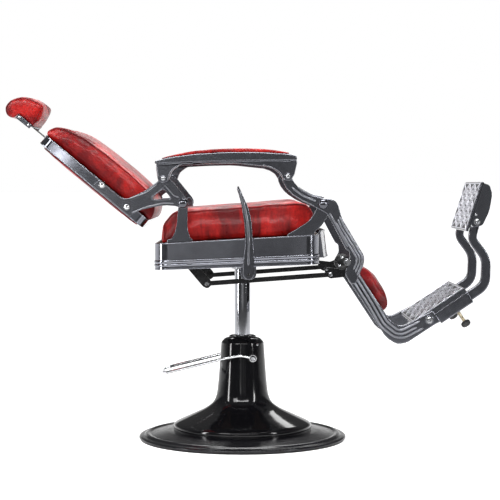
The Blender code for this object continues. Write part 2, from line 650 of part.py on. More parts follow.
# ---- armrests --------------------------------------------------------------------------------------
def make_armrest(name, side, joint):
    casting = fillet([(-0.264, 0.9050, 0.004), (-0.050, 0.9180), (0.164, 0.9165, 0.004), (0.169, 0.905, 0.010),
                      (0.160, 0.866, 0.014), (0.148, 0.846, 0.012), (0.128, 0.848, 0.014),
                      (0.112, 0.873, 0.020), (0.085, 0.8896, 0.05), (-0.032, 0.902, 0.2),
                      (-0.188, 0.899, 0.03), (-0.2177, 0.877, 0.03), (-0.228, 0.846, 0.014),
                      (-0.246, 0.838, 0.012), (-0.261, 0.850, 0.014), (-0.266, 0.890, 0.02)])
    holes = [circle(ARM_REAR_PIN, 0.0064), circle(ARM_FRONT_PIN, 0.0064)]
    plate = side_plate(f"armrest_casting_{name}", [casting] + holes, ARM_CASTING, side)
    rail = fillet([(-0.268, 0.9080, 0.004), (-0.225, 0.9190, 0.1), (-0.150, 0.9290, 0.3), (-0.050, 0.9352, 0.5),
                   (0.050, 0.9352, 0.5), (0.146, 0.9295, 0.05), (0.166, 0.9235, 0.005),
                   (0.169, 0.911, 0.006), (-0.050, 0.9085), (-0.270, 0.900, 0.006)])
    combine(plate, side_plate("rail", [rail], ARM_RAIL, side), "UNION")
    register(plate, "gunmetal", joint)

    pad = fillet([(-0.250, 0.9134), (-0.225, 0.9194, 0.1), (-0.150, 0.9294, 0.3), (-0.050, 0.9356, 0.5),
                  (0.050, 0.9356, 0.5), (0.144, 0.9301), (0.146, 0.9335, 0.003), (0.095, 0.9428, 0.1),
                  (0.020, 0.9465, 0.3), (-0.080, 0.9452, 0.3), (-0.165, 0.9372, 0.2), (-0.230, 0.9228, 0.1),
                  (-0.251, 0.9165, 0.003)])
    register(side_plate(f"armrest_pad_{name}", [pad], ARM_PAD, side), "red_leather", joint)

    # the pin passes through the leg casting's eye with clearance, where the linkage is open
    inner = LEG_CASTING[0] + 0.002
    pin = [(0.0, ARM_CASTING[1] + 0.006), (0.010, ARM_CASTING[1] + 0.004), (0.010, ARM_CASTING[1] + GAP),
           (0.006, ARM_CASTING[1] + GAP), (0.006, inner), (0.0, inner)]
    register(turned(f"arm_front_pin_{name}", pin, (ARM_FRONT_PIN[0], 0, ARM_FRONT_PIN[1]), side, 16),
             "chrome", joint)


# ---- leg rest --------------------------------------------------------------------------------------
def make_leg(joint):
    for name, side in sides():
        casting = fillet([(0.130, 0.876, 0.010), (0.148, 0.877, 0.010), (0.156, 0.848, 0.03),
                          (0.177, 0.8225, 0.04), (0.212, 0.803, 0.06), (0.252, 0.793, 0.06),
                          (0.292, 0.789, 0.03), (0.309, 0.730, 0.06), (0.378, 0.614, 0.03),
                          (0.377, 0.590, 0.03), (0.358, 0.545, 0.02), (0.352, 0.529, 0.006),
                          (0.337, 0.527, 0.006), (0.318, 0.556, 0.02), (0.321, 0.580, 0.02),
                          (0.334, 0.602, 0.02), (0.332, 0.628, 0.02), (0.3206, 0.6357, 0.01),
                          (0.2633, 0.7442, 0.03), (0.2246, 0.7650, 0.03), (0.184, 0.7832, 0.06),
                          (0.149, 0.8067, 0.05), (0.127, 0.836, 0.04), (0.122, 0.858, 0.02)])
        holes = [circle(LEG_HINGE, 0.0079), circle(ARM_FRONT_PIN, 0.0085)]
        register(side_plate(f"leg_casting_{name}", [casting] + holes, LEG_CASTING, side), "gunmetal", joint)

        rail = fillet([(0.317, 0.566, 0.014), (0.322, 0.583, 0.014), (0.346, 0.585, 0.014),
                       (0.377, 0.545, 0.03), (0.443, 0.443, 0.10), (0.474, 0.398, 0.06),
                       (0.505, 0.386, 0.04), (0.603, 0.437, 0.006), (0.6285, 0.402, 0.006),
                       (0.6116, 0.394, 0.02), (0.522, 0.335, 0.03), (0.490, 0.329, 0.03),
                       (0.455, 0.351, 0.04), (0.337, 0.530, 0.04)])
        register(side_plate(f"lower_rail_{name}", [rail, circle(CROSS_TUBE, 0.0114)], LOWER_RAIL, side),
                 "gunmetal", joint)
        make_socket(name, side, joint)

    ends = LEG_CASTING[0] - GAP
    tube_body = rod("leg_cross_frame", (CROSS_TUBE[0], -ends, CROSS_TUBE[1]),
                    (CROSS_TUBE[0], ends, CROSS_TUBE[1]), 0.011)
    for _, side in sides():
        bracket = fillet([(0.255, 0.577, 0.006), (0.300, 0.572), (0.336, 0.585, 0.015), (0.354, 0.572, 0.015),
                          (0.350, 0.549, 0.015), (0.330, 0.546, 0.01), (0.276, 0.540, 0.010),
                          (0.262, 0.550, 0.010)])
        combine(tube_body, side_plate("bracket", [bracket], LINK_BRACKET, side), "UNION")
    register(tube_body, "black_steel", joint)

    pad = fillet([(0.366, 0.576, 0.010), (0.390, 0.573, 0.02), (0.409, 0.556, 0.03), (0.467, 0.466, 0.03),
                  (0.462, 0.442, 0.015), (0.446, 0.430, 0.008), (0.436, 0.434), (0.362, 0.548)])
    register(wide_plate("calf_pad", pad, 0.184), "red_leather", joint)
    board = [(0.3615, 0.5475), (0.4355, 0.4335), (0.4305, 0.4305), (0.3565, 0.5445)]
    register(wide_plate("calf_board", [Vector(p) for p in board], 0.1895), "black_steel", joint)

    tread = [tread_point(0.0, 0.0), tread_point(TREAD_LENGTH, 0.0), tread_point(TREAD_LENGTH, TREAD_THICK),
             tread_point(0.0, TREAD_THICK)]
    register(wide_plate("lower_tread", fillet([(*p, 0.003) for p in tread]), LOWER_RAIL[0] - 0.0005),
             "tread_metal", joint)


def make_socket(name, side, joint):
    """A block under the tread with a hole right through, which the foot tube slides in."""
    top = TREAD_THICK + GAP
    length = TREAD_LENGTH - SOCKET_START
    middle = top + SOCKET_DEPTH / 2
    start = TREAD_START + TREAD_ALONG * SOCKET_START + TREAD_DOWN * middle
    low, high = sorted((side * SOCKET[0], side * SOCKET[1]))
    hole_low, hole_high = sorted((side * (FOOT_TUBE[0] - 0.0005), side * (FOOT_TUBE[1] + 0.0005)))
    block = [rectangle((low, -SOCKET_DEPTH / 2), (high, SOCKET_DEPTH / 2), 0.004),
             rectangle((hole_low, -0.0166), (hole_high, 0.0166))]
    register(section(f"tube_socket_{name}", block, start, TREAD_ALONG, length), "gunmetal", joint)


def make_foot_extension(joint):
    depth = TREAD_THICK + GAP + SOCKET_DEPTH / 2
    for name, side in sides():
        line = [tread_point(0.105, depth), (0.775, 0.5145, 0.05), (0.778, 0.600, 0.07), (0.731, 0.662, 0.035),
                FOOT_PLATE_HINGE, (0.749, 0.7275)]
        outline = band(line, (0.032, 0.026))
        holes = [circle(FOOT_PLATE_HINGE, 0.0065)]
        register(side_plate(f"foot_tube_{name}", [outline] + holes, FOOT_TUBE, side), "gunmetal", joint)


def make_foot_plate(joint):
    slab = fillet([(0.759, 0.845, 0.003), (0.709, 0.688, 0.003), (0.7165, 0.686, 0.003),
                   (0.7665, 0.843, 0.003)])
    plate = wide_plate("upper_foot_plate", slab, 0.182)
    for _, side in sides():
        cheek = fillet([(0.7600, 0.842), (0.785, 0.834, 0.015), (0.793, 0.805, 0.03), (0.784, 0.751, 0.06),
                        (0.762, 0.705, 0.015), (0.730, 0.700, 0.015), (0.716, 0.700)])
        combine(plate, side_plate("cheek", [cheek], (0.174, 0.1815), side), "UNION")
    register(plate, "tread_metal", joint)
    reach = 0.1737
    axle = rod("foot_plate_axle", (FOOT_PLATE_HINGE[0], -reach, FOOT_PLATE_HINGE[1]),
               (FOOT_PLATE_HINGE[0], reach, FOOT_PLATE_HINGE[1]), 0.006)
    register(axle, "chrome", joint)


def make_clamp(name, side, joint):
    """A thumb screw under a socket that locks the foot tube."""
    out = TREAD_DOWN
    y = side * (FOOT_TUBE[0] + FOOT_TUBE[1]) / 2
    profile = [(0.0, 0.0), (0.005, 0.0), (0.005, 0.038), (0.012, 0.038), (0.0145, 0.042), (0.0145, 0.054),
               (0.011, 0.058), (0.0, 0.058)]
    screw = turned(f"clamp_screw_{name}", profile[::-1], segments=16)
    start = joint.location.copy()
    screw.matrix_world = Matrix.Translation((start.x, y, start.z)) @ \
        out.to_track_quat("Z", "Y").to_matrix().to_4x4()
    register(screw, "black_steel", joint)


def main():
    global PARTS, CUTTERS
    clear_scene()
    PARTS = new_collection("barber_chair")
    CUTTERS = new_collection("cutters")

    make_base()
    make_pedal()
    make_piston()

    seat = joint_empty("seat_axis", (0, 0, 0.57))
    make_seat_frame(seat)
    make_seat_parts(seat)
    make_links()
    make_lever(joint_empty("recline_lever_axis", (LEVER_HINGE[0], 0, LEVER_HINGE[1])))

    make_back(joint_empty("back_axis", (BACK_HINGE[0], 0, BACK_HINGE[1])))
    make_headrest(joint_empty("headrest_axis", (BACK_FOOT.x, 0, BACK_FOOT.z)))
    for name, side in sides():
        make_armrest(name, side, joint_empty(f"armrest_{name}_axis", (ARM_REAR_PIN[0], 0, ARM_REAR_PIN[1])))

    make_leg(joint_empty("leg_axis", (LEG_HINGE[0], 0, LEG_HINGE[1])))
    make_foot_extension(joint_empty("foot_extension_axis", (*TREAD_START,)))
    make_foot_plate(joint_empty("foot_plate_axis", (FOOT_PLATE_HINGE[0], 0, FOOT_PLATE_HINGE[1])))
    for name, side in sides():
        clamp_x, clamp_z = tread_point(0.145, TREAD_THICK + SOCKET_DEPTH + GAP * 3)
        clamp_y = side * (FOOT_TUBE[0] + FOOT_TUBE[1]) / 2
        make_clamp(name, side, joint_empty(f"clamp_{name}_axis", (clamp_x, clamp_y, clamp_z)))


main()
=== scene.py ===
"""Looks of the hydraulic barber chair: materials, upholstery, fittings, studio and camera.

Metres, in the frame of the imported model: +X is the front of the chair, +Y the sitter's left, +Z up.
"""

import math

import bmesh
import bpy
from mathutils import Matrix, Quaternion, Vector, noise
from mathutils.bvhtree import BVHTree
from mathutils.kdtree import KDTree
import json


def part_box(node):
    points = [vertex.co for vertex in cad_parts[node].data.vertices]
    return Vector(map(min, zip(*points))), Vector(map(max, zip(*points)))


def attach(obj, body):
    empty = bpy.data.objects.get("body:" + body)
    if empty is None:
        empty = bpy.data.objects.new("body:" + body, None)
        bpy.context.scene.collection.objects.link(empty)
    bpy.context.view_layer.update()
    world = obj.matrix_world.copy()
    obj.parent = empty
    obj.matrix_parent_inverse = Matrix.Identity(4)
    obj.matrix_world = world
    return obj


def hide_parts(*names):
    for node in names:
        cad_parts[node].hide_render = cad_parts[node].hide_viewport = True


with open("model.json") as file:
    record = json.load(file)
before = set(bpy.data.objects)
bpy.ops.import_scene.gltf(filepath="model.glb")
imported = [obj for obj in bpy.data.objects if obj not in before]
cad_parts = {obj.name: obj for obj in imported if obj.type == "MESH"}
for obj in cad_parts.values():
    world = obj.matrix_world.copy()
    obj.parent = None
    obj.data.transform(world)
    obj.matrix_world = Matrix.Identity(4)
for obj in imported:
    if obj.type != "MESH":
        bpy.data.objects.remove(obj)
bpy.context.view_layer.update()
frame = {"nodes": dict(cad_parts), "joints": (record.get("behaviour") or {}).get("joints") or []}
NODES = frame["nodes"]
SCENE = bpy.context.scene
SIDES = (("left", 1), ("right", -1))

UP = Vector((0, 0, 1))
ORIGIN = Vector((0, 0, 0))

# ---- places that several pieces share, as x, z -----------------------------------------------------
BACK_HINGE = (-0.185, 0.778)
LEG_HINGE = (0.250, 0.775)
ARM_REAR_PIN = (-0.244, 0.855)
ARM_FRONT_PIN = (0.140, 0.862)
LINK_REAR = (-0.1115, 0.525)
LINK_FRONT = (0.2764, 0.5532)
FOOT_PLATE_HINGE = (0.745, 0.718)
PEDAL_AXIS = (0.034, 0.2726)
KNEE_HUB = (0.309, 0.596)

BACK_FOOT = Vector((-0.2938, 0.0, 0.725))
BACK_UP = Vector((-0.7695, 0.0, 0.6386)).normalized()
BACK_OUT = Vector((0.6386, 0.0, 0.7695)).normalized()

TREAD_START = Vector((0.5375, 0.0, 0.396))
TREAD_ALONG = Vector((math.cos(math.radians(33.9)), 0.0, math.sin(math.radians(33.9))))
TREAD_OUT = Vector((-TREAD_ALONG.z, 0.0, TREAD_ALONG.x))
TREAD_LENGTH = 0.201

BOX_LOW, BOX_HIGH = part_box("seat_frame")
BOX_CORNER = 0.045


def box_top(x):
    return 0.66515 + 0.0558 * x


def box_bottom(x):
    return 0.5788 + 0.0352 * x


def back_point(s, y, t):
    return BACK_FOOT + BACK_UP * s + BACK_OUT * t + Vector((0, y, 0))


def tread_point(s, y, t):
    return TREAD_START + TREAD_ALONG * s + TREAD_OUT * t + Vector((0, y, 0))


# ---- materials -------------------------------------------------------------------------------------
class Paint:
    """A node material built round one Principled shader."""

    def __init__(self, name, **constants):
        self.material = bpy.data.materials.new(name)
        self.material.use_nodes = True
        self.tree = self.material.node_tree
        self.shader = self.tree.nodes["Principled BSDF"]
        for key, value in constants.items():
            self.shader.inputs[key.replace("_", " ")].default_value = value
        self.coordinates = self.tree.nodes.new("ShaderNodeTexCoord").outputs["Object"]
        self.heights = []

    def node(self, kind, settings=None, **inputs):
        made = self.tree.nodes.new("ShaderNode" + kind)
        for key, value in (settings or {}).items():
            setattr(made, key, value)
        for key, value in inputs.items():
            socket = made.inputs[key.replace("_", " ")]
            if isinstance(value, bpy.types.NodeSocket):
                self.tree.links.new(value, socket)
            else:
                socket.default_value = value
        return made

    def stretched(self, scale):
        return self.node("Mapping", Vector=self.coordinates, Scale=scale).outputs["Vector"]

    def noise(self, scale, detail=3.0, roughness=0.5, where=None, distortion=0.0):
        made = self.node("TexNoise", Vector=where or self.coordinates, Scale=scale, Detail=detail,
                         Roughness=roughness, Distortion=distortion)
        return made.outputs["Fac"]

    def cells(self, scale, feature="F1", where=None, randomness=1.0):
        made = self.node("TexVoronoi", {"feature": feature}, Vector=where or self.coordinates, Scale=scale,
                         Randomness=randomness)
        return made.outputs["Distance"]

    def ramp(self, value, stops):
        made = self.node("ValToRGB", Fac=value)
        colours = made.color_ramp.elements
        while len(colours) < len(stops):
            colours.new(0.5)
        for element, (place, colour) in zip(colours, stops):
            element.position = place
            element.color = (*colour, 1.0) if len(colour) == 3 else colour
        return made.outputs["Color"]

    def level(self, value, low, high, new_low, new_high):
        made = self.node("MapRange", Value=value)
        for key, number in zip(("From Min", "From Max", "To Min", "To Max"), (low, high, new_low, new_high)):
            made.inputs[key].default_value = number
        return made.outputs["Result"]

    def mix(self, amount, first, second):
        made = self.tree.nodes.new("ShaderNodeMix")
        made.data_type = "RGBA"
        for socket, value in zip((made.inputs[0], made.inputs[6], made.inputs[7]), (amount, first, second)):
            if isinstance(value, bpy.types.NodeSocket):
                self.tree.links.new(value, socket)
            else:
                socket.default_value = value if isinstance(value, float) else (*value, 1.0)
        return made.outputs[2]

    def feed(self, socket, value):
        self.tree.links.new(value, self.shader.inputs[socket])

    def bump(self, height, depth, strength=1.0):
        """Add a relief of the given depth in metres; reliefs pile up."""
        made = self.node("Bump", Height=height, Strength=strength, Distance=depth)
        if self.heights:
            self.tree.links.new(self.heights[-1], made.inputs["Normal"])
        self.heights.append(made.outputs["Normal"])
        self.tree.links.new(made.outputs["Normal"], self.shader.inputs["Normal"])


def leather(name, bright, deep, stretch=(1.0, 1.0, 1.0)):
    """Glossy upholstery leathercloth: pebbled grain, creases and uneven, antiqued dye."""
    paint = Paint(name, Coat_Weight=0.14, Coat_Roughness=0.16, Specular_IOR_Level=0.30, IOR=1.42)
    clouds = paint.noise(9.0, 4.0, 0.62, paint.stretched(stretch), 0.6)
    speckle = paint.noise(140.0, 3.0, 0.6)
    dye = paint.ramp(clouds, [(0.40, deep), (0.62, bright)])
    dye = paint.mix(paint.level(speckle, 0.42, 0.62, 0.0, 0.35), dye, [0.72 * c for c in deep])
    paint.feed("Base Color", dye)
    grain = paint.cells(760.0, "DISTANCE_TO_EDGE")
    paint.feed("Roughness", paint.level(paint.noise(60.0, 4.0), 0.3, 0.7, 0.27, 0.43))
    paint.bump(paint.noise(34.0, 4.0, 0.6, distortion=0.8), 0.0011, 0.45)
    paint.bump(paint.level(grain, 0.0, 0.09, 0.0, 1.0), 0.00016, 0.55)
    paint.bump(paint.noise(900.0, 2.0), 0.00006, 0.5)
    return paint.material


def castmetal(name, colour, wear, roughness=(0.30, 0.42), metallic=1.0):
    """Metallic paint over a cast or pressed part: flake, orange peel and rubbed patches scattered by noise."""
    paint = Paint(name, Metallic=metallic, Coat_Weight=0.2, Coat_Roughness=0.15)
    flake = paint.cells(1900.0)
    tone = paint.ramp(paint.noise(11.0, 4.0, 0.6), [(0.32, [0.80 * c for c in colour]), (0.68, colour)])
    tone = paint.mix(paint.level(flake, 0.25, 0.55, 0.12, 0.0), tone, wear)
    rub = paint.noise(26.0, 6.0, 0.72, distortion=0.5)
    tone = paint.mix(paint.level(rub, 0.66, 0.82, 0.0, 0.28), tone, wear)
    paint.feed("Base Color", tone)
    paint.feed("Roughness", paint.level(paint.noise(48.0, 5.0, 0.65), 0.3, 0.7, *roughness))
    paint.bump(paint.noise(420.0, 2.0), 0.00001, 0.4)
    paint.bump(paint.noise(45.0, 2.0), 0.00010, 0.15)
    return paint.material


def enamel(name, colour, roughness=(0.07, 0.14)):
    """Thick gloss black enamel with a faint orange peel, fine dust and a few hairline scuffs."""
    paint = Paint(name, IOR=1.42, Specular_IOR_Level=0.5)
    dust = paint.noise(190.0, 5.0, 0.7)
    tone = paint.mix(paint.level(dust, 0.60, 0.78, 0.0, 0.08), colour, (0.10, 0.10, 0.105))
    paint.feed("Base Color", tone)
    scuffs = paint.noise(22.0, 6.0, 0.75, paint.stretched((1.0, 1.0, 9.0)))
    paint.feed("Roughness", paint.level(scuffs, 0.35, 0.72, *roughness))
    paint.bump(paint.noise(85.0, 2.0), 0.00022, 0.22)
    return paint.material


def polished(name, colour, roughness=(0.05, 0.13), stretch=(1.0, 1.0, 1.0), grooves=0.00002):
    """Plated or machined metal with drawn scratches and faint tarnish."""
    paint = Paint(name, Metallic=1.0)
    tarnish = paint.noise(30.0, 5.0, 0.65)
    tone = paint.ramp(tarnish, [(0.30, [0.84 * c for c in colour]), (0.62, colour)])
    paint.feed("Base Color", tone)
    scratches = paint.noise(160.0, 5.0, 0.7, paint.stretched(stretch))
    paint.feed("Roughness", paint.level(scratches, 0.3, 0.75, *roughness))
    paint.bump(scratches, grooves, 0.5)
    return paint.material


def moulded(name, colour, roughness=(0.42, 0.6), pebble=700.0, depth=0.0001):
    """Moulded rubber or plastic with a fine pebbled skin and patches of dust scattered by noise."""
    paint = Paint(name, Specular_IOR_Level=0.45)
    dust = paint.noise(70.0, 5.0, 0.7)
    paint.feed("Base Color", paint.mix(paint.level(dust, 0.5, 0.8, 0.0, 0.22), colour, (0.11, 0.11, 0.11)))
    paint.feed("Roughness", paint.level(paint.noise(38.0, 4.0), 0.3, 0.7, *roughness))
    paint.bump(paint.cells(pebble), depth, 0.6)
    return paint.material


def plywood(name):
    # Real plywood grain, with its tones kept near black: painted shade, because the boards only show in the dark
    # gaps at the top of the seat box.
    paint = Paint(name, Specular_IOR_Level=0.3)
    rings = paint.noise(16.0, 6.0, 0.6, paint.stretched((1.0, 9.0, 9.0)), 1.2)
    tone = paint.ramp(rings, [(0.30, (0.030, 0.017, 0.010)), (0.55, (0.062, 0.036, 0.020)),
                              (0.75, (0.095, 0.058, 0.034))])
    paint.feed("Base Color", tone)
    paint.feed("Roughness", paint.level(rings, 0.2, 0.8, 0.78, 0.6))
    paint.bump(rings, 0.0003, 0.5)
    return paint.material


RED = leather("red_leather", (0.46, 0.011, 0.009), (0.13, 0.0022, 0.004))
RED_FOLDED = leather("red_leather_folded", (0.47, 0.012, 0.010), (0.105, 0.0018, 0.003), (1.9, 1.9, 0.35))
RED_SIDE = leather("red_leather_piping", (0.27, 0.006, 0.008), (0.085, 0.0016, 0.003))
GUNMETAL = castmetal("gunmetal_paint", (0.168, 0.173, 0.197), (0.36, 0.365, 0.38), (0.15, 0.24))
# a lighter copy of the gunmetal for ribs and beads: painted highlight along them
RIB_PAINTED_HIGHLIGHT = castmetal("gunmetal_painted_highlight", (0.250, 0.256, 0.285), (0.40, 0.405, 0.42), (0.27, 0.36))
BOX_GREY = castmetal("gunmetal_sheet", (0.285, 0.293, 0.332), (0.36, 0.365, 0.38), (0.11, 0.17))
BAND = castmetal("gunmetal_band", (0.190, 0.198, 0.230), (0.34, 0.345, 0.36), (0.05, 0.09))
BALL = castmetal("gunmetal_gloss", (0.110, 0.112, 0.128), (0.30, 0.30, 0.32), (0.10, 0.18))
BLACK_ENAMEL = enamel("gloss_black_enamel", (0.004, 0.004, 0.005))
PLATE_ENAMEL = enamel("gloss_black_plate", (0.007, 0.007, 0.009), (0.16, 0.28))
BLACK_STEEL = castmetal("black_steel", (0.012, 0.012, 0.013), (0.06, 0.06, 0.062), (0.22, 0.36), 0.6)
CHROME = polished("chrome", (0.86, 0.87, 0.89), stretch=(1.0, 1.0, 0.12), grooves=0.000004)
HARD_CHROME = polished("piston_chrome", (0.47, 0.48, 0.51), (0.05, 0.11), (1.0, 1.0, 0.12), 0.000004)
BOLT = polished("chrome_fittings", (0.52, 0.53, 0.55), (0.10, 0.20))
STEEL = polished("machined_steel", (0.55, 0.56, 0.58), (0.22, 0.38), (1.0, 1.0, 14.0), 0.00005)
BRIGHT = polished("tread_aluminium", (0.66, 0.66, 0.72), (0.26, 0.40), (2.0, 2.0, 2.0), 0.00002)
THREAD = polished("zinc_thread", (0.62, 0.56, 0.44), (0.24, 0.36))
RECESS = moulded("tread_black", (0.010, 0.010, 0.012), (0.38, 0.55), 300.0, 0.0002)
KNOB = moulded("black_knob", (0.012, 0.012, 0.013), (0.30, 0.44), 900.0, 0.00005)
RUBBER = moulded("black_rubber", (0.016, 0.016, 0.016), (0.62, 0.8))
# boards in near-black plywood, painted shade
PLYWOOD_PAINTED_SHADE = plywood("plywood")


# ---- mesh helpers ----------------------------------------------------------------------------------
def sharpen(mesh, angle=34.0):
    """Smooth shading, except across edges that turn by more than the angle."""
    bm = bmesh.new()
    bm.from_mesh(mesh)
    bm.normal_update()
    limit = math.radians(angle)
    for face in bm.faces:
        face.smooth = True
    for edge in bm.edges:
        edge.smooth = len(edge.link_faces) == 2 and edge.calc_face_angle(0.0) < limit
    bm.to_mesh(mesh)
    bm.free()


def settle(obj, material, body, replaces=()):
    obj.data.materials.clear()
    obj.data.materials.append(material)
    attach(obj, body)
    if replaces:
        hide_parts(*replaces)
    return obj


def link(name, mesh):
    obj = bpy.data.objects.new(name, mesh)
    SCENE.collection.objects.link(obj)
    return obj


def solid(name, bm, material, body, replaces=(), angle=34.0):
    bmesh.ops.recalc_face_normals(bm, faces=bm.faces)
    mesh = bpy.data.meshes.new(name)
    bm.to_mesh(mesh)
    bm.free()
    sharpen(mesh, angle)
    return settle(link(name, mesh), material, body, replaces)


def bevelled(obj, width, segments=3, angle=38.0):
    """Round an object's sharp edges with modifiers; its own mesh stays as it is."""
    for polygon in obj.data.polygons:
        polygon.use_smooth = True
    weld = obj.modifiers.new("weld", "WELD")
    weld.merge_threshold = 0.00002
    flat = obj.modifiers.new("flatten", "DECIMATE")
    flat.decimate_type = "DISSOLVE"
    flat.angle_limit = math.radians(0.8)
    bevel = obj.modifiers.new("bevel", "BEVEL")
    bevel.width = width
    bevel.segments = segments
    bevel.limit_method = "ANGLE"
    bevel.angle_limit = math.radians(angle)
    bevel.use_clamp_overlap = False
    bevel.harden_normals = False
    weight = obj.modifiers.new("normals", "WEIGHTED_NORMAL")
    weight.weight = 60
    weight.keep_sharp = False
    return obj


def fillet(points, closed=True, step=9):
    """Round the corners of a flat polygon. A point is (a, b) or (a, b, radius)."""
    result = []
    for i, point in enumerate(points):
        here = Vector(point[:2])
        radius = point[2] if len(point) == 3 else 0.0
        if radius == 0.0 or (not closed and i in (0, len(points) - 1)):
            result.append(here)
            continue
        back = Vector(points[i - 1][:2]) - here
        ahead = Vector(points[(i + 1) % len(points)][:2]) - here
        turn = math.pi - back.angle(ahead)
        if turn < 0.02:
            result.append(here)
            continue
        reach = min(radius * math.tan(turn / 2), 0.49 * back.length, 0.49 * ahead.length)
        radius = reach / math.tan(turn / 2)
        middle = here + (back.normalized() + ahead.normalized()).normalized() * (radius / math.cos(turn / 2))
        start = here + back.normalized() * reach - middle
        end = here + ahead.normalized() * reach - middle
        steps = max(1, round(math.degrees(turn) / step))
        signed = turn if start.x * end.y - start.y * end.x > 0 else -turn
        for k in range(steps + 1):
            result.append(middle + Matrix.Rotation(signed * k / steps, 2) @ start)
    return result


def even(points, spacing, closed=False):
    """Points at even spacing along a line through space."""
    line = [Vector(p) for p in points]
    if closed:
        line.append(line[0])
    lengths = [(b - a).length for a, b in zip(line, line[1:])]
    total = sum(lengths)
    count = max(2, round(total / spacing))
    result = []
    for k in range(count if closed else count + 1):
        target = total * k / count
        i = 0
        while i < len(lengths) - 1 and target > lengths[i]:
            target -= lengths[i]
            i += 1
        result.append(line[i].lerp(line[i + 1], min(1.0, target / max(lengths[i], 1e-9))))
    return result


def strips(bm, rings, closed=False):
    """Join equal rings of vertices, one after another, with quads."""
    for first, second in zip(rings, rings[1:] + (rings[:1] if closed else [])):
        count = len(first)
        for k in range(count):
            j = (k + 1) % count
            bm.faces.new((first[k], first[j], second[j], second[k]))


def sweep(bm, path, shape, up=None, closed=False, taper=0.0):
    """Sweep a flat shape of (across, up) points along a path; taper shrinks it towards open ends."""
    rings = []
    count = len(path)
    normal = up
    for i, here in enumerate(path):
        before = path[i - 1] if closed or i else path[0]
        after = path[(i + 1) % count] if closed or i < count - 1 else path[-1]
        along = (after - before).normalized()
        if up is None:
            if normal is None:
                normal = along.orthogonal().normalized()
            normal = (normal - along * normal.dot(along)).normalized()
        across = along.cross(normal).normalized()
        size = 1.0
        if taper and not closed:
            reach = min((here - path[0]).length, (here - path[-1]).length) / taper
            size = 0.12 + 0.88 * math.sqrt(max(0.0, 1.0 - (1.0 - min(1.0, reach)) ** 2))
        rings.append([bm.verts.new(here + across * (a * size) + normal * (b * size)) for a, b in shape])
    strips(bm, rings, closed)
    if not closed:
        bm.faces.new(rings[0][::-1])
        bm.faces.new(rings[-1])


def swept(name, path, shape, material, body, up=None, closed=False, angle=50):
    bm = bmesh.new()
    sweep(bm, path, shape, up, closed)
    return solid(name, bm, material, body, angle=angle)


def ring_shape(radius, flat=1.0, sides=12):
    return [(radius * math.cos(2 * math.pi * k / sides), radius * flat * math.sin(2 * math.pi * k / sides))
            for k in range(sides)]


def lathe(bm, profile, place, axis, segments=48, closed=False):
    """Turn a profile of (radius, height) about an axis through a point."""
    turn = axis.to_track_quat("Z", "Y").to_matrix()
    rings = []
    for radius, height in profile:
        count = segments if radius > 1e-6 else 1
        steps = [2 * math.pi * k / segments for k in range(count)]
        rings.append([bm.verts.new(place + turn @ Vector((radius * math.cos(a), radius * math.sin(a), height)))
                      for a in steps])
    for first, second in zip(rings, rings[1:] + (rings[:1] if closed else [])):
        for k in range(segments):
            j = (k + 1) % segments
            if len(first) == 1 and len(second) > 1:
                bm.faces.new((first[0], second[j], second[k]))
            elif len(second) == 1 and len(first) > 1:
                bm.faces.new((first[k], first[j], second[0]))
            elif len(first) > 1:
                bm.faces.new((first[k], first[j], second[j], second[k]))


def turned(name, profile, place, axis, material, body, replaces=(), angle=40, segments=48, closed=False):
    bm = bmesh.new()
    lathe(bm, profile, place, axis, segments, closed)
    return solid(name, bm, material, body, replaces, angle)


def round_profile(points, closed=True, step=12):
    return [(p.x, p.y) for p in fillet(points, closed, step)]


def slab(bm, corners, low, high, to_world, chamfer=0.0):
    """A flat bar from a polygon of (u, v) corners, between two heights, its top edge chamfered."""
    centre = sum((Vector(c) for c in corners), Vector((0, 0))) / len(corners)
    levels = [(low, 0.0), (high - chamfer, 0.0), (high, chamfer)]
    rings = []
    for height, inset in levels:
        ring = []
        for corner in corners:
            inward = (centre - Vector(corner))
            inward = inward.normalized() * min(inset * 1.4, inward.length * 0.6)
            u, v = Vector(corner) + inward
            ring.append(bm.verts.new(to_world(u, v, height)))
        rings.append(ring)
    strips(bm, rings)
    bm.faces.new(rings[-1])
    bm.faces.new(rings[0][::-1])


def bar(bm, start, end, width, low, high, to_world):
    """A straight raised bar with chamfered edges on a (u, v) surface."""
    a, b = Vector(start), Vector(end)
    along = (b - a).normalized()
    side = Vector((-along.y, along.x)) * (width / 2)
    inset = width * 0.22
    top = [a + side * 0.6 + along * inset, b + side * 0.6 - along * inset,
           b - side * 0.6 - along * inset, a - side * 0.6 + along * inset]
    foot = [a + side, b + side, b - side, a - side]
    rings = [[bm.verts.new(to_world(*p, height)) for p in corners]
             for corners, height in ((foot, low), (foot, high - inset), (top, high))]
    strips(bm, rings)
    bm.faces.new(rings[-1])


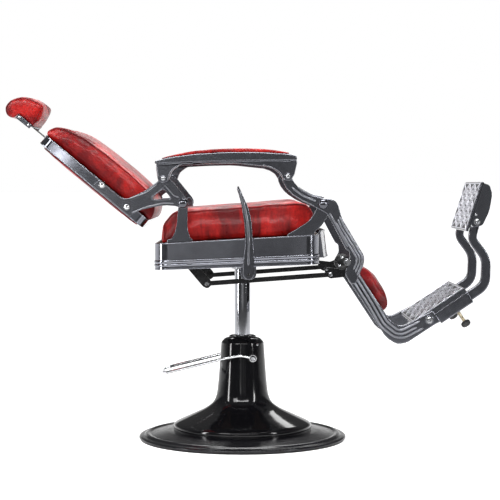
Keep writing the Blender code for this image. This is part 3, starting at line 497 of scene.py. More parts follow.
# ---- fittings --------------------------------------------------------------------------------------
def bolt(name, place, axis, body, radius=0.007, kind="hex", washer=True, material=None):
    """A bolt head, on a washer or bare. Kinds: hex, socket (domed, with a recess) and dome."""
    bm = bmesh.new()
    face = 0.0
    if washer:
        face = 0.0012
        inner, outer = radius * 0.5, radius * 1.38
        ring = round_profile([(inner, 0.0), (outer, 0.0, 0.0003), (outer, face, 0.0005), (inner, face)])
        lathe(bm, ring, place, axis, 28, closed=True)
    if kind == "hex":
        height = radius * 0.75
        turn = axis.to_track_quat("Z", "Y").to_matrix()
        rings = []
        corners = [(radius * math.cos(math.pi * k / 3 + 0.3), radius * math.sin(math.pi * k / 3 + 0.3))
                   for k in range(6)]
        for size, up in ((1.0, 0.0), (1.0, height * 0.82), (0.86, height), (0.55, height), (0.50, height * 0.9)):
            rings.append([bm.verts.new(place + turn @ Vector((size * a, size * b, face + up)))
                          for a, b in corners])
        strips(bm, rings)
        bm.faces.new(rings[-1])
    else:
        height = radius * 0.55
        profile = [(1.0, 0.0), (1.0, 0.25)]
        profile += [(math.cos(a), 0.25 + 0.75 * math.sin(a)) for a in map(math.radians, (20, 40, 58))]
        if kind == "socket":
            profile += [(0.46, 0.98), (0.42, 0.4), (0.0, 0.35)]
        else:
            profile += [(0.25, 0.985), (0.0, 1.0)]
        lathe(bm, [(radius * a, face + height * b) for a, b in profile], place, axis, 28)
    return solid(name, bm, material or BOLT, body, angle=28)


def side_vector(side):
    return Vector((0, side, 0))


def at(place, y):
    return Vector((place[0], y, place[1]))


def rib(name, points, y, side, body, radius, proud=0.6):
    """A raised half-round rib on the outer face of a side casting, tapering at both ends."""
    line = even([(p.x, y * side, p.y) for p in fillet(points, closed=False, step=6)], 0.004)
    bm = bmesh.new()
    up = side_vector(side)
    shape = [(radius * math.cos(a), radius * proud * math.sin(a))
             for a in map(math.radians, range(0, 181, 30))]
    shape += [(-radius, -0.0004), (radius, -0.0004)]
    sweep(bm, line, shape, up=up, taper=radius * 3)
    # the rib is drawn in the lighter gunmetal, a painted highlight along it
    solid(name, bm, RIB_PAINTED_HIGHLIGHT, body, angle=50)


# ---- camera ----------------------------------------------------------------------------------------
def make_camera():
    data = bpy.data.cameras.new("camera")
    camera = bpy.data.objects.new("camera", data)
    SCENE.collection.objects.link(camera)
    data.sensor_width = 36.0
    data.lens = 115.3
    camera.location = (0.0, -5.26, 0.834)
    yaw, pitch = math.radians(0.27), math.radians(2.32)
    look = Vector((math.sin(yaw) * math.cos(pitch), math.cos(yaw) * math.cos(pitch), -math.sin(pitch)))
    camera.rotation_mode = "QUATERNION"
    camera.rotation_quaternion = look.to_track_quat("-Z", "Y")
    SCENE.camera = camera


# ---- studio ----------------------------------------------------------------------------------------
def softbox(name, place, target, size, power, lean=0.0):
    """A soft rectangular lamp that faces the target; it leans to the right by an angle in degrees."""
    data = bpy.data.lights.new(name, "AREA")
    data.shape = "RECTANGLE"
    data.size, data.size_y = size
    data.energy = power
    lamp = bpy.data.objects.new(name, data)
    lamp.location = place
    lamp.visible_camera = False
    lamp.rotation_mode = "QUATERNION"
    look = Vector(target) - Vector(place)
    lamp.rotation_quaternion = Quaternion(look, math.radians(lean)) @ look.to_track_quat("-Z", "Y")
    SCENE.collection.objects.link(lamp)


def make_studio():
    SCENE.view_settings.view_transform = "Standard"
    SCENE.view_settings.look = "None"

    # white round the horizon behind the chair, dark above it and behind the camera, so that edges show
    world = bpy.data.worlds.new("studio")
    SCENE.world = world
    world.use_nodes = True
    nodes, links = world.node_tree.nodes, world.node_tree.links

    def ramp(source, low, high, first, last):
        spread = nodes.new("ShaderNodeMapRange")
        spread.interpolation_type = "SMOOTHSTEP"
        spread.inputs["From Min"].default_value = low
        spread.inputs["From Max"].default_value = high
        spread.inputs["To Min"].default_value = first
        spread.inputs["To Max"].default_value = last
        links.new(source, spread.inputs["Value"])
        return spread.outputs["Result"]

    where = nodes.new("ShaderNodeTexCoord")
    split = nodes.new("ShaderNodeSeparateXYZ")
    links.new(where.outputs["Generated"], split.inputs[0])
    band = nodes.new("ShaderNodeMath")
    band.operation = "MULTIPLY"
    links.new(ramp(split.outputs["Z"], 0.14, 0.24, 1.0, 0.0), band.inputs[0])
    links.new(ramp(split.outputs["Y"], -0.35, 0.75, 0.0, 1.0), band.inputs[1])
    lift = nodes.new("ShaderNodeMath")
    lift.operation = "MAXIMUM"
    links.new(band.outputs[0], lift.inputs[0])
    links.new(ramp(split.outputs["Z"], 0.0, 0.9, 0.07, 0.22), lift.inputs[1])
    seen = nodes.new("ShaderNodeMath")
    seen.operation = "MAXIMUM"
    links.new(nodes.new("ShaderNodeLightPath").outputs["Is Camera Ray"], seen.inputs[0])
    links.new(lift.outputs[0], seen.inputs[1])
    links.new(seen.outputs[0], nodes["Background"].inputs["Strength"])
    nodes["Background"].inputs["Color"].default_value = (1.0, 1.0, 1.0, 1.0)

    bm = bmesh.new()
    lathe(bm, [(radius, 0.0) for radius in (0.0, 0.6, 1.2, 2.5, 6.0, 14.0, 40.0, 160.0)], ORIGIN, UP, 64)
    mesh = bpy.data.meshes.new("studio_floor")
    bm.to_mesh(mesh)
    bm.free()
    floor = link("studio_floor", mesh)
    # The floor is painted light: it glows, and its glow and colour fall off towards -y. This is painted shade
    # behind the camera for what the chair mirrors, while camera rays see the floor glow pale.
    paint = Paint("pale_floor", Roughness=0.6, Specular_IOR_Level=0.05, Emission_Strength=1.0)
    grain = paint.noise(3.0, 3.0)
    depth = paint.node("SeparateXYZ", Vector=paint.coordinates).outputs["Y"]
    pale = paint.ramp(paint.level(depth, -4.0, 0.0, 0.0, 1.0),
                      [(0.1, (0.14, 0.14, 0.14)), (0.75, (0.62, 0.62, 0.62))])
    paint.feed("Base Color", paint.mix(paint.level(grain, 0.3, 0.7, 0.0, 0.05), pale, (0.70, 0.70, 0.70)))
    glow = paint.level(depth, -3.0, 3.0, 0.0, 1.0)
    mirrored = paint.ramp(glow, [(0.0, (0.05, 0.05, 0.05)), (0.38, (0.38, 0.38, 0.38)),
                                 (0.6, (0.66, 0.66, 0.66)), (1.0, (0.98, 0.98, 0.98))])
    seen = paint.node("LightPath").outputs["Is Camera Ray"]
    glow = paint.mix(paint.level(seen, 0.0, 1.0, 0.0, 0.75), mirrored, (0.98, 0.98, 0.98))
    paint.feed("Emission Color", glow)
    mesh.materials.append(paint.material)

    for name, place, target, size, power in (
            ("key_light", (-2.1, -3.4, 2.6), (0, 0, 0.7), (1.3, 1.3), 52),
            ("front_strip", (0.0, -4.4, 3.1), (0, 0, 0.6), (4.4, 0.4), 82),
            ("right_strip", (3.2, -2.3, 1.7), (0.2, 0, 0.6), (0.35, 2.2), 62),
            ("left_strip", (-3.2, -1.5, 1.2), (-0.1, 0, 0.5), (0.35, 2.0), 48),
            ("top_light", (0.0, -0.3, 3.4), (0, -0.1, 0.6), (2.6, 0.8), 115),
            ("floor_bounce", (0.0, -1.9, 0.03), (0, -1.9, 0.9), (3.2, 0.6), 7),
            ("back_light", (0.4, 3.0, 2.6), (0, 0, 0.7), (2.4, 0.6), 25)):
        softbox(name, place, target, size, power)
    # behind the camera, for what the flat sides mirror: a streak for the back band, then three soft panels
    softbox("far_strip", (-1.64, -9.5, 1.15), (-0.6, 0, 0.9), (0.16, 1.1), 3.6, 39.7)
    for i, (x, width) in enumerate(((-1.0, 2.0), (0.95, 0.95), (2.2, 0.6))):
        softbox(f"far_panel_{i}", (x, -9.5, 0.9), (x, 0, 0.9), (width, 2.8), 2.9 * width)


# ---- soft goods ------------------------------------------------------------------------------------
def smoothed(obj, rounds, voxel=None):
    """Smooth the object's mesh for good, after a voxel remesh where a voxel size is given."""
    if voxel:
        remesh = obj.modifiers.new("remesh", "REMESH")
        remesh.mode = "VOXEL"
        remesh.voxel_size = voxel
    smooth = obj.modifiers.new("smooth", "SMOOTH")
    smooth.factor = 0.5
    smooth.iterations = rounds
    graph = bpy.context.evaluated_depsgraph_get()
    mesh = bpy.data.meshes.new_from_object(obj.evaluated_get(graph))
    obj.modifiers.clear()
    obj.data = mesh


def inflate(obj, pressure, frames, pinned, cap):
    """Blow the shell up as cloth. pinned gives a vertex's pin weight, cap how far it may move."""
    start = [v.co.copy() for v in obj.data.vertices]
    group = obj.vertex_groups.new(name="held")
    for vertex in obj.data.vertices:
        group.add([vertex.index], pinned(vertex.co), "REPLACE")
    cloth = obj.modifiers.new("cloth", "CLOTH")
    settings = cloth.settings
    settings.quality = 5
    settings.mass = 0.25
    settings.tension_stiffness = 18
    settings.compression_stiffness = 18
    settings.shear_stiffness = 9
    settings.bending_stiffness = 1.2
    settings.use_pressure = True
    settings.uniform_pressure_force = pressure
    settings.vertex_group_mass = "held"
    settings.effector_weights.gravity = 0.0
    cloth.collision_settings.use_collision = False
    cloth.point_cache.frame_start = 1
    cloth.point_cache.frame_end = frames
    SCENE.frame_start, SCENE.frame_end = 1, frames
    for number in range(1, frames + 1):
        SCENE.frame_set(number)
    graph = bpy.context.evaluated_depsgraph_get()
    swollen = [v.co.copy() for v in obj.evaluated_get(graph).data.vertices]
    obj.modifiers.remove(cloth)
    obj.vertex_groups.clear()
    SCENE.frame_set(1)
    for vertex, before, after in zip(obj.data.vertices, start, swollen):
        move = after - before
        limit = cap(before)
        if move.length > limit:
            move = move.normalized() * limit
        vertex.co = before + move


def push(obj, amount):
    """Move each vertex along its normal by amount(point, normal)."""
    normals = [v.normal.copy() for v in obj.data.vertices]
    for vertex, normal in zip(obj.data.vertices, normals):
        vertex.co += normal * amount(vertex.co, normal)


def crease(obj, paths, depth, width):
    """Pull the surface in along sewn lines."""
    points = [p for path in paths for p in path]
    tree = KDTree(len(points))
    for i, point in enumerate(points):
        tree.insert(point, i)
    tree.balance()
    push(obj, lambda place, normal: -depth * math.exp(-(tree.find(place)[2] / width) ** 2))


def snapped(obj, path, lift):
    """The path's points moved onto an object's surface."""
    tree = BVHTree.FromObject(obj, bpy.context.evaluated_depsgraph_get())
    result = []
    for point in path:
        place, normal, _, _ = tree.find_nearest(point)
        result.append(place + normal * lift)
    return result


def eased(path, closed):
    """A path with its small kinks smoothed out."""
    for _ in range(3):
        count = len(path)
        path = [(path[i - 1] + here * 2 + path[(i + 1) % count]) / 4 if closed or 0 < i < count - 1 else here
                for i, here in enumerate(path)]
    return path


def piping(name, obj, path, body, radius=0.0026, closed=False):
    """A welt cord sewn along a seam."""
    line = eased(snapped(obj, even(path, 0.005, closed), 0.0004), closed=closed)
    swept(name, line, ring_shape(radius, sides=10), RED_SIDE, body, closed=closed, angle=70)


def pad_from(node, name, to_local, change, voxel, rounds):
    """A remeshed copy of a CAD cushion, reshaped in a local frame before it is blown up."""
    mesh = NODES[node].data.copy()
    mesh.materials.clear()
    back = to_local.inverted()
    for vertex in mesh.vertices:
        vertex.co = back @ change(to_local @ vertex.co)
    obj = link(name, mesh)
    smoothed(obj, rounds, voxel)
    return obj


def finish_pad(obj, body, node, material=None):
    for polygon in obj.data.polygons:
        polygon.use_smooth = True
    subdivision = obj.modifiers.new("subdivision", "SUBSURF")
    subdivision.levels = subdivision.render_levels = 1
    settle(obj, material or RED, body, (node,))
    return obj


def fade(value, start, end):
    share = max(0.0, min(1.0, (value - start) / (end - start)))
    return share * share * (3 - 2 * share)


IDENTITY = Matrix.Identity(4)


def height_on(points, x):
    """Height at x on a line given by its points, from low x to high x."""
    for (x0, z0), (x1, z1) in zip(points, points[1:]):
        if x <= x1:
            break
    return z0 + (z1 - z0) * (x - x0) / (x1 - x0)


def make_seat_cushion():
    low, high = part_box("seat_cushion")
    middle = (low.x + high.x) / 2

    def change(p):
        base = box_top(p.x)
        return Vector((middle + (p.x - middle) * 0.994, p.y * 0.965, base + (p.z - base) * 0.955 + 0.0006))

    obj = pad_from("seat_cushion", "seat_cushion_pad", IDENTITY, change, 0.0066, 3)

    def height(p):
        return p.z - box_top(p.x)

    inflate(obj, 4.0, 16, lambda p: 1.0 if height(p) < 0.006 else 0.0,
            lambda p: 0.004 * fade(0.20 - abs(p.y), 0.0, 0.14) * fade(height(p), 0.05, 0.09) + 0.004)
    smoothed(obj, 2)

    def folds(p, n):
        side_face = fade(abs(n.y), 0.55, 0.9) * fade(height(p), 0.004, 0.03)
        side_face *= fade(0.115 - height(p), 0.0, 0.02)
        wave = noise.noise(Vector((p.x * 17.0, 0.3 * p.y, p.z * 3.0 + 4.0))) * 0.0052
        fine = noise.noise(Vector((p.x * 50.0, p.y, p.z * 9.0))) * 0.0011
        top = noise.noise(Vector((p.x * 8.0, p.y * 8.0, 2.0))) * 0.0018 * fade(n.z, 0.5, 0.9)
        return side_face * (wave + fine) + top

    push(obj, folds)
    outline = fillet([(-0.246, box_top(-0.246) + 0.012), (-0.2485, 0.712, 0.03), (-0.2175, 0.7515, 0.035),
                      (-0.10, 0.7620, 0.3), (0.155, 0.7800, 0.10), (0.1990, 0.7780, 0.03),
                      (0.2205, 0.7465, 0.04), (0.2170, 0.701, 0.03), (0.2035, box_top(0.2035) + 0.012)],
                     closed=False)
    loops = {name: [Vector((p.x, side * 0.2375, p.y)) for p in outline] for name, side in SIDES}
    crease(obj, [even(loop, 0.004) for loop in loops.values()], 0.0022, 0.006)
    finish_pad(obj, "seat", "seat_cushion", RED_FOLDED)
    for name, loop in loops.items():
        piping(f"seat_cushion_piping_{name}", obj, loop, "seat")


def back_frame_matrix():
    matrix = Matrix((BACK_UP, Vector((0, 1, 0)), BACK_OUT)).to_4x4()
    return matrix @ Matrix.Translation(-BACK_FOOT)


def make_back_cushion():
    to_local = back_frame_matrix()

    def change(p):
        return Vector((0.208 + (p.x - 0.208) * 0.984, p.y * 0.964, 0.0006 + p.z * 0.965))

    obj = pad_from("back_cushion", "back_cushion_pad", to_local, change, 0.0066, 3)

    def cap(p):
        local = to_local @ p
        return 0.003 * fade(0.215 - abs(local.y), 0.0, 0.14) * fade(local.z, 0.03, 0.06) + 0.004

    inflate(obj, 4.0, 16, lambda p: 1.0 if (to_local @ p).z < 0.006 else 0.0, cap)
    smoothed(obj, 2)

    def folds(p, n):
        local = to_local @ p
        side_face = fade(abs(n.y), 0.5, 0.9)
        run = noise.noise(Vector((local.x * 5.0, 1.0, local.z * 26.0))) * 0.0022
        front = noise.noise(Vector((local.x * 9.0, local.y * 7.0, 5.0))) * 0.0018
        return side_face * run + front * fade(n.dot(BACK_OUT), 0.5, 0.9)

    push(obj, folds)
    line = fillet([(0.4185, 0.0127), (0.4120, 0.0365, 0.03), (0.3860, 0.0545, 0.05), (0.3180, 0.0715, 0.15),
                   (0.2375, 0.0765, 0.3), (0.151, 0.0775, 0.3), (0.064, 0.0725, 0.08), (0.0165, 0.0560, 0.06),
                   (-0.0010, 0.031, 0.04), (-0.0045, 0.008)], closed=False)
    loops = {name: [back_point(p.x, side * 0.2540, p.y) for p in line] for name, side in SIDES}
    crease(obj, [even(loop, 0.004) for loop in loops.values()], 0.0018, 0.006)
    finish_pad(obj, "back", "back_cushion")
    for name, loop in loops.items():
        piping(f"back_cushion_piping_{name}", obj, loop, "back", 0.0022)

    def shrink(p):
        return Vector((0.207 + (p.x - 0.207) * 0.985, p.y * 0.985, -0.0306 + (p.z + 0.0306) * 0.72))

    panel = pad_from("back_rear_panel", "back_rear_panel_pad", to_local, shrink, 0.0046, 2)
    inflate(panel, 3.0, 12, lambda p: 1.0 if (to_local @ p).z > -0.0325 else 0.0, lambda p: 0.0045)
    smoothed(panel, 2)
    finish_pad(panel, "back", "back_rear_panel")
    edge = [back_point(0.207 + 0.190 * p.x, 0.252 * p.y, -0.0345)
            for p in fillet([(-1, -1, 0.09), (1, -1, 0.09), (1, 1, 0.09), (-1, 1, 0.09)])]
    piping("back_rear_panel_piping", panel, edge, "back", 0.0024, closed=True)


def make_headrest():
    to_local = back_frame_matrix()
    centre = Vector((0.545, 0.0, 0.020))

    def change(p):
        keep = p.z < -0.009 and 0.4795 < p.x < 0.5425
        x = p.x if keep else centre.x + (p.x - centre.x) * 0.980
        z = p.z if keep else centre.z + (p.z - centre.z) * 0.975
        return Vector((x, p.y * 0.94, z))

    obj = pad_from("headrest_pad", "headrest_pad_soft", to_local, change, 0.0040, 3)

    def held(p):
        local = to_local @ p
        return 1.0 if local.z < -0.004 and 0.470 < local.x < 0.556 else 0.0

    inflate(obj, 4.0, 14, held, lambda p: 0.005 + 0.003 * fade(0.10 - abs(p.y), 0.0, 0.08))
    smoothed(obj, 2)
    push(obj, lambda p, n: noise.noise(p * 17.0) * 0.0014 * (1 - held(p)))
    line = fillet([(-0.7395, 1.0506, 0.010), (-0.7555, 1.058, 0.018), (-0.7630, 1.0835, 0.033),
                   (-0.744, 1.1048, 0.03), (-0.709, 1.1155, 0.05), (-0.688, 1.1135, 0.05),
                   (-0.6505, 1.0973, 0.03), (-0.6365, 1.0852, 0.012), (-0.6445, 1.0737, 0.02),
                   (-0.6685, 1.0333, 0.15), (-0.6757, 1.0205, 0.004)], closed=False)
    loops = {name: [Vector((p.x, side * 0.1120, p.y)) for p in line] for name, side in SIDES}
    crease(obj, [even(loop, 0.003) for loop in loops.values()], 0.0018, 0.005)
    finish_pad(obj, "headrest", "headrest_pad")
    for name, loop in loops.items():
        piping(f"headrest_piping_{name}", obj, loop, "headrest", 0.0017)


def make_arm_pads():
    tray = [(-0.2500, 0.9134), (-0.2250, 0.9194), (-0.1500, 0.9290), (-0.0500, 0.9352), (0.0500, 0.9352),
            (0.1440, 0.9298)]
    for name, side in SIDES:
        low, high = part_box(f"armrest_pad_{name}")
        middle = (low + high) / 2

        def change(p):
            return Vector((middle.x + (p.x - middle.x) * 0.995, middle.y + (p.y - middle.y) * 0.94, p.z))

        obj = pad_from(f"armrest_pad_{name}", f"armrest_pad_{name}_soft", IDENTITY, change, 0.0026, 2)
        inflate(obj, 4.0, 12, lambda p: 1.0 if p.z < height_on(tray, p.x) + 0.002 else 0.0, lambda p: 0.0040)
        smoothed(obj, 1)
        push(obj, lambda p, n: noise.noise(Vector((p.x * 24.0, p.y * 10.0, 0.0))) * 0.0005)
        finish_pad(obj, f"armrest_{name}", f"armrest_pad_{name}")


def make_calf_pad():
    low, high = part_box("calf_pad")
    middle = (low + high) / 2

    def change(p):
        return Vector((middle.x + (p.x - middle.x) * 0.975, p.y * 0.965, middle.z + (p.z - middle.z) * 0.985))

    obj = pad_from("calf_pad", "calf_pad_soft", IDENTITY, change, 0.0046, 3)
    normal = Vector((0.842, 0.0, 0.540))
    anchor = Vector((0.399, 0.0, 0.491))
    inflate(obj, 4.0, 14, lambda p: 1.0 if (p - anchor).dot(normal) < 0.004 else 0.0,
            lambda p: 0.004 + 0.005 * fade(0.17 - abs(p.y), 0.0, 0.08))
    smoothed(obj, 2)
    push(obj, lambda p, n: noise.noise(p * 14.0) * 0.0015 * fade((p - anchor).dot(normal), 0.004, 0.02))
    finish_pad(obj, "leg", "calf_pad", RED_SIDE)


# ---- base ------------------------------------------------------------------------------------------
def make_base():
    profile = round_profile([(0.0, 0.0300), (0.2280, 0.0300, 0.01), (0.246, 0.0285, 0.04),
                             (0.3010, 0.0185, 0.02),
                             (0.3060, 0.0212, 0.004), (0.3120, 0.0222, 0.006), (0.3180, 0.0205, 0.005),
                             (0.3230, 0.0155, 0.003), (0.3340, 0.0146, 0.006), (0.3400, 0.0110, 0.003),
                             (0.3400, 0.0056, 0.002), (0.3380, 0.0043, 0.001), (0.3305, 0.0043),
                             (0.3295, 0.0092, 0.004), (0.2980, 0.0127), (0.2440, 0.0225), (0.2260, 0.0240),
                             (0.0, 0.0240)], closed=False, step=10)
    turned("base_plate_enamelled", profile, ORIGIN, UP, PLATE_ENAMEL, "base",
           ("base_plate",), 60, 160)

    bm = bmesh.new()
    outside = [(0.0372, 0.3362), (0.0430, 0.3362, 0.004), (0.0580, 0.3315, 0.012), (0.0700, 0.3190, 0.010),
               (0.0745, 0.2580, 0.4), (0.0790, 0.1980, 0.4), (0.0850, 0.1450, 0.12), (0.0955, 0.1195, 0.06),
               (0.1225, 0.0995, 0.12), (0.1700, 0.0775, 0.3), (0.2170, 0.0560, 0.05), (0.2262, 0.0490, 0.008),
               (0.2272, 0.0420, 0.006), (0.2268, 0.0303)]
    inside = [(0.2225, 0.0303), (0.2225, 0.042), (0.216, 0.0515), (0.168, 0.0735), (0.1205, 0.096),
              (0.0925, 0.116), (0.0815, 0.145), (0.0755, 0.198), (0.0665, 0.3155), (0.055, 0.3275),
              (0.0372, 0.3325)]
    outside = round_profile(outside, closed=False, step=6)
    lathe(bm, outside + inside, ORIGIN, UP, 144, closed=True)
    for _, side in SIDES:
        boss = round_profile([(0.0, 0.0937), (0.0095, 0.0937, 0.001), (0.0095, 0.0905), (0.0060, 0.0905),
                              (0.0060, 0.0797), (0.0140, 0.0797, 0.002), (0.0145, 0.0660), (0.0, 0.0660)],
                             closed=False)
        lathe(bm, boss, at(PEDAL_AXIS, 0.0), side_vector(side), 32)
    solid("base_cover_enamelled", bm, BLACK_ENAMEL, "base", ("base_cover",), 60)

    angle = math.radians(-47)
    out = Vector((math.cos(angle), math.sin(angle), 0.05)).normalized()
    bolt("cover_set_screw", out * 0.0702 + Vector((0, 0, 0.3105)), out, "base", 0.0042, "socket",
         washer=False)
    for name, side in SIDES:
        bolt(f"pedal_nut_{name}", at(PEDAL_AXIS, side * 0.0936), side_vector(side), "base", 0.0078, "hex",
             washer=False)

    foot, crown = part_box("piston_rod")
    shaft = round_profile([(0.0, crown.z), (0.0180, crown.z, 0.001), (0.0180, 0.5600),
                           (0.0260, 0.5600, 0.0015), (0.0260, foot.z + 0.002, 0.002), (0.0245, foot.z), (0.0, foot.z)], closed=False)
    turned("piston_rod_polished", shaft, ORIGIN, UP, HARD_CHROME, "piston", ("piston_rod",),
           segments=96)
    collar = round_profile([(0.0264, 0.3366), (0.0440, 0.3366), (0.0440, 0.3405, 0.002),
                            (0.0340, 0.3435, 0.004), (0.0264, 0.3440, 0.0008)])
    turned("piston_wiper_collar", collar, ORIGIN, UP, BLACK_ENAMEL, "base", segments=64,
           closed=True)


# ---- seat ------------------------------------------------------------------------------------------
def perimeter(grow, height):
    """A loop round the seat box, grown by a margin, at a height given as a function of x."""
    half = BOX_HIGH.y + grow
    line = fillet([(BOX_LOW.x - grow, -half, BOX_CORNER), (BOX_HIGH.x + grow, -half, BOX_CORNER),
                   (BOX_HIGH.x + grow, half, BOX_CORNER), (BOX_LOW.x - grow, half, BOX_CORNER)], step=6)
    return even([(p.x, p.y, height(p.x)) for p in line], 0.008, closed=True)


def moulding(name, grow, height, profile):
    """Sweep an (out, up) profile round the seat box."""
    swept(name, perimeter(grow, height), profile, BOX_GREY, "seat", UP, True, 45)


def make_seat_box():
    box_height = lambda x: box_top(x) - box_bottom(x)
    rim = [(0.0022 * math.cos(a), 0.0018 * math.sin(a)) for a in [2 * math.pi * k / 10 for k in range(10)]]
    moulding("seat_box_rim", -0.0012, lambda x: box_top(x) + 0.0004, rim)
    for label, share, tall in (("upper", 0.300, 0.0058), ("lower", 0.170, 0.0044)):
        bead = [(0.0025 * math.cos(math.radians(a)) - 0.0002, tall * math.sin(math.radians(a)))
                for a in (-90, -60, -30, 0, 30, 60, 90)] + [(-0.0012, tall), (-0.0012, -tall)]
        moulding(f"seat_box_{label}_bead", 0.0, lambda x: box_bottom(x) + box_height(x) * share, bead)
    foot = [(-0.0014, 0.0030), (0.0012, 0.0022), (0.0018, 0.0), (0.0012, -0.0012), (-0.0014, -0.0012)]
    moulding("seat_box_foot_roll", -0.0002, lambda x: box_bottom(x) + 0.0012, foot)

    for name, side in SIDES:
        ball_bolt(f"back_hinge_ball_{name}", BACK_HINGE, 0.2845, side, f"back_hinge_bolt_{name}")
        ball_bolt(f"leg_hinge_ball_{name}", LEG_HINGE, 0.3035, side, f"leg_hinge_bolt_{name}")

    low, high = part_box("front_apron")
    for label, level in (("top", high.z - 0.0015), ("bottom", low.z + 0.0015)):
        lean = -0.13 * (level - 0.648)
        path = [Vector((0.2503 + 0.022 * (1 - across * across) + lean, 0.225 * across, level))
                for across in [-1 + k / 12 for k in range(25)]]
        swept(f"front_apron_rim_{label}", path, ring_shape(0.0021, sides=10), BOX_GREY, "seat")


def ball_bolt(name, place, face, side, node):
    """The big domed hinge bolt with a turned collar."""
    radius = 0.016
    dome = [(radius * math.sin(math.radians(a)), 0.0012 + 0.0128 * math.cos(math.radians(a)))
            for a in (90, 80, 70, 60, 50, 40, 30, 20, 10, 0)]
    collar = [(0.0075, -0.0118), (0.0075, 0.0), (radius + 0.0002, 0.0), (radius + 0.0008, 0.0005)]
    turned(name, [(0.0, -0.0118)] + collar + dome, at(place, side * (face + 0.0003)), side_vector(side), BALL,
           "seat", (node,), 50, 40)


# ---- recline linkage -------------------------------------------------------------------------------
def make_linkage():
    for name, side in SIDES:
        out = side_vector(side)
        for part, place, y, body, radius, kind in (
                ("rear", LINK_REAR, 0.2441, "rocker", 0.0072, "hex"),
                ("front", LINK_FRONT, 0.2371, "link_bars", 0.0072, "hex"),
                ("bracket", (0.2655, 0.5685), 0.2301, "leg", 0.0042, "socket")):
            bolt(f"link_{part}_bolt_{name}", at(place, side * y), out, body, radius, kind, washer=False)
        sleeve = round_profile([(0.0095, 0.2460), (0.0140, 0.2460, 0.0008), (0.0140, 0.2560, 0.0008),
                                (0.0095, 0.2560)])
        turned(f"rocker_collar_{name}", sleeve, at((-0.203, 0.628), 0.0), out, STEEL, "rocker",
               segments=28, closed=True)
    out = Vector((0, -1, 0))
    bolt("lever_pivot_screw", at((0.0185, 0.556), -0.2981), out, "lever", 0.0048, "socket", washer=False,
         material=BLACK_STEEL)
    ridge = [(-0.0135, 0.822), (0.006, 0.770, 0.10), (0.0170, 0.712, 0.10), (0.0200, 0.655, 0.1),
             (0.0185, 0.585)]
    rib("lever_ridge", ridge, 0.2979, -1, "lever", 0.0034, 0.30)


# ---- back ------------------------------------------------------------------------------------------
def make_back():
    for name, side in SIDES:
        out = side_vector(side)
        for i, place in enumerate(((-0.436, 0.834), (-0.359, 0.766))):
            bolt(f"strap_bolt_{name}_{i}", at(place, side * 0.2846), out, "back", 0.0068, "socket",
                 material=CHROME)
        for part, radius, points in (
                ("lower", 0.0024, [(-0.345, 0.7475), (-0.300, 0.7660, 0.06), (-0.245, 0.7790, 0.08),
                                   (-0.212, 0.7770)]),
                ("upper", 0.0020, [(-0.352, 0.7925), (-0.300, 0.8105, 0.06), (-0.266, 0.8360)]),
                ("front", 0.0020, [(-0.2445, 0.8370), (-0.212, 0.8000, 0.03), (-0.196, 0.7960)])):
            rib(f"bracket_{part}_rib_{name}", points, 0.2843, side, "back", radius)
        loop = fillet([(-0.2925, 0.7875, 0.006), (-0.2458, 0.8268, 0.006), (-0.2160, 0.7885, 0.006)], step=9)
        path = even([(p.x, side * 0.2843, p.y) for p in loop], 0.003, closed=True)
        swept(f"bracket_window_rim_{name}", path, ring_shape(0.0016, 0.8, 8), GUNMETAL, "back",
              out, True)
        pin_head(f"arm_rear_screw_{name}", ARM_REAR_PIN, 0.3343, side, "back")

    bm = bmesh.new()
    half = 0.2712
    for t in (-0.0006, -0.0294):
        line = fillet([(0.0008, -half, 0.0295), (0.4132, -half, 0.0295), (0.4132, half, 0.0295),
                       (0.0008, half, 0.0295)], step=6)
        path = even([back_point(p.x, p.y, t) for p in line], 0.008, closed=True)
        sweep(bm, path, ring_shape(0.0017, 1.0, 8), up=BACK_OUT, closed=True)
    solid("back_band_rolled_edges", bm, BOX_GREY, "back", angle=50)

    for name, side in SIDES:
        for i, s in enumerate((0.494, 0.532)):
            bolt(f"headrest_screw_{name}_{i}", back_point(s, side * 0.1181, -0.0175), side_vector(side),
                 "headrest", 0.0046, "dome", washer=False)
    bm = bmesh.new()
    screw = round_profile([(0.0042, 0.0), (0.0042, 0.0022, 0.0006), (0.0020, 0.0026), (0.0018, 0.0014),
                           (0.0, 0.0014)], closed=False)
    for y in (-0.012, 0.012):
        lathe(bm, screw, back_point(0.512, y, -0.0221), -BACK_OUT, 24)
    solid("headrest_bar_screws", bm, CHROME, "headrest", angle=35)


def pin_head(name, place, y, side, body):
    """The slotless head of an armrest pin, in line with the pin's boss."""
    head = [(0.0068, -0.0030), (0.0070, 0.0004), (0.0064, 0.0016), (0.0050, 0.0026), (0.0032, 0.0030),
            (0.0030, 0.0016), (0.0, 0.0016)]
    turned(name, head, at(place, side * y), side_vector(side), BOLT, body, segments=32)


# ---- armrests --------------------------------------------------------------------------------------
def make_armrests():
    for name, side in SIDES:
        body = f"armrest_{name}"
        pin_head(f"arm_front_screw_{name}", ARM_FRONT_PIN, 0.3343, side, body)
        for part, radius, proud, points in (
                ("rear_bead", 0.0019, 0.9, [(-0.2315, 0.8500), (-0.2195, 0.8800, 0.03), (-0.188, 0.9000, 0.03),
                                            (-0.150, 0.9010)]),
                ("front_bead", 0.0019, 0.9, [(0.060, 0.8962), (0.0885, 0.8905, 0.05), (0.1135, 0.8765, 0.02),
                                             (0.1290, 0.8500)]),
                ("rear_edge", 0.0016, 0.6, [(-0.2590, 0.8560), (-0.2635, 0.8900)]),
                ("under_rail", 0.0022, 0.6, [(-0.245, 0.8990), (-0.050, 0.9118), (0.150, 0.9085)])):
            rib(f"arm_{part}_{name}", points, 0.3279, side, body, radius, proud)


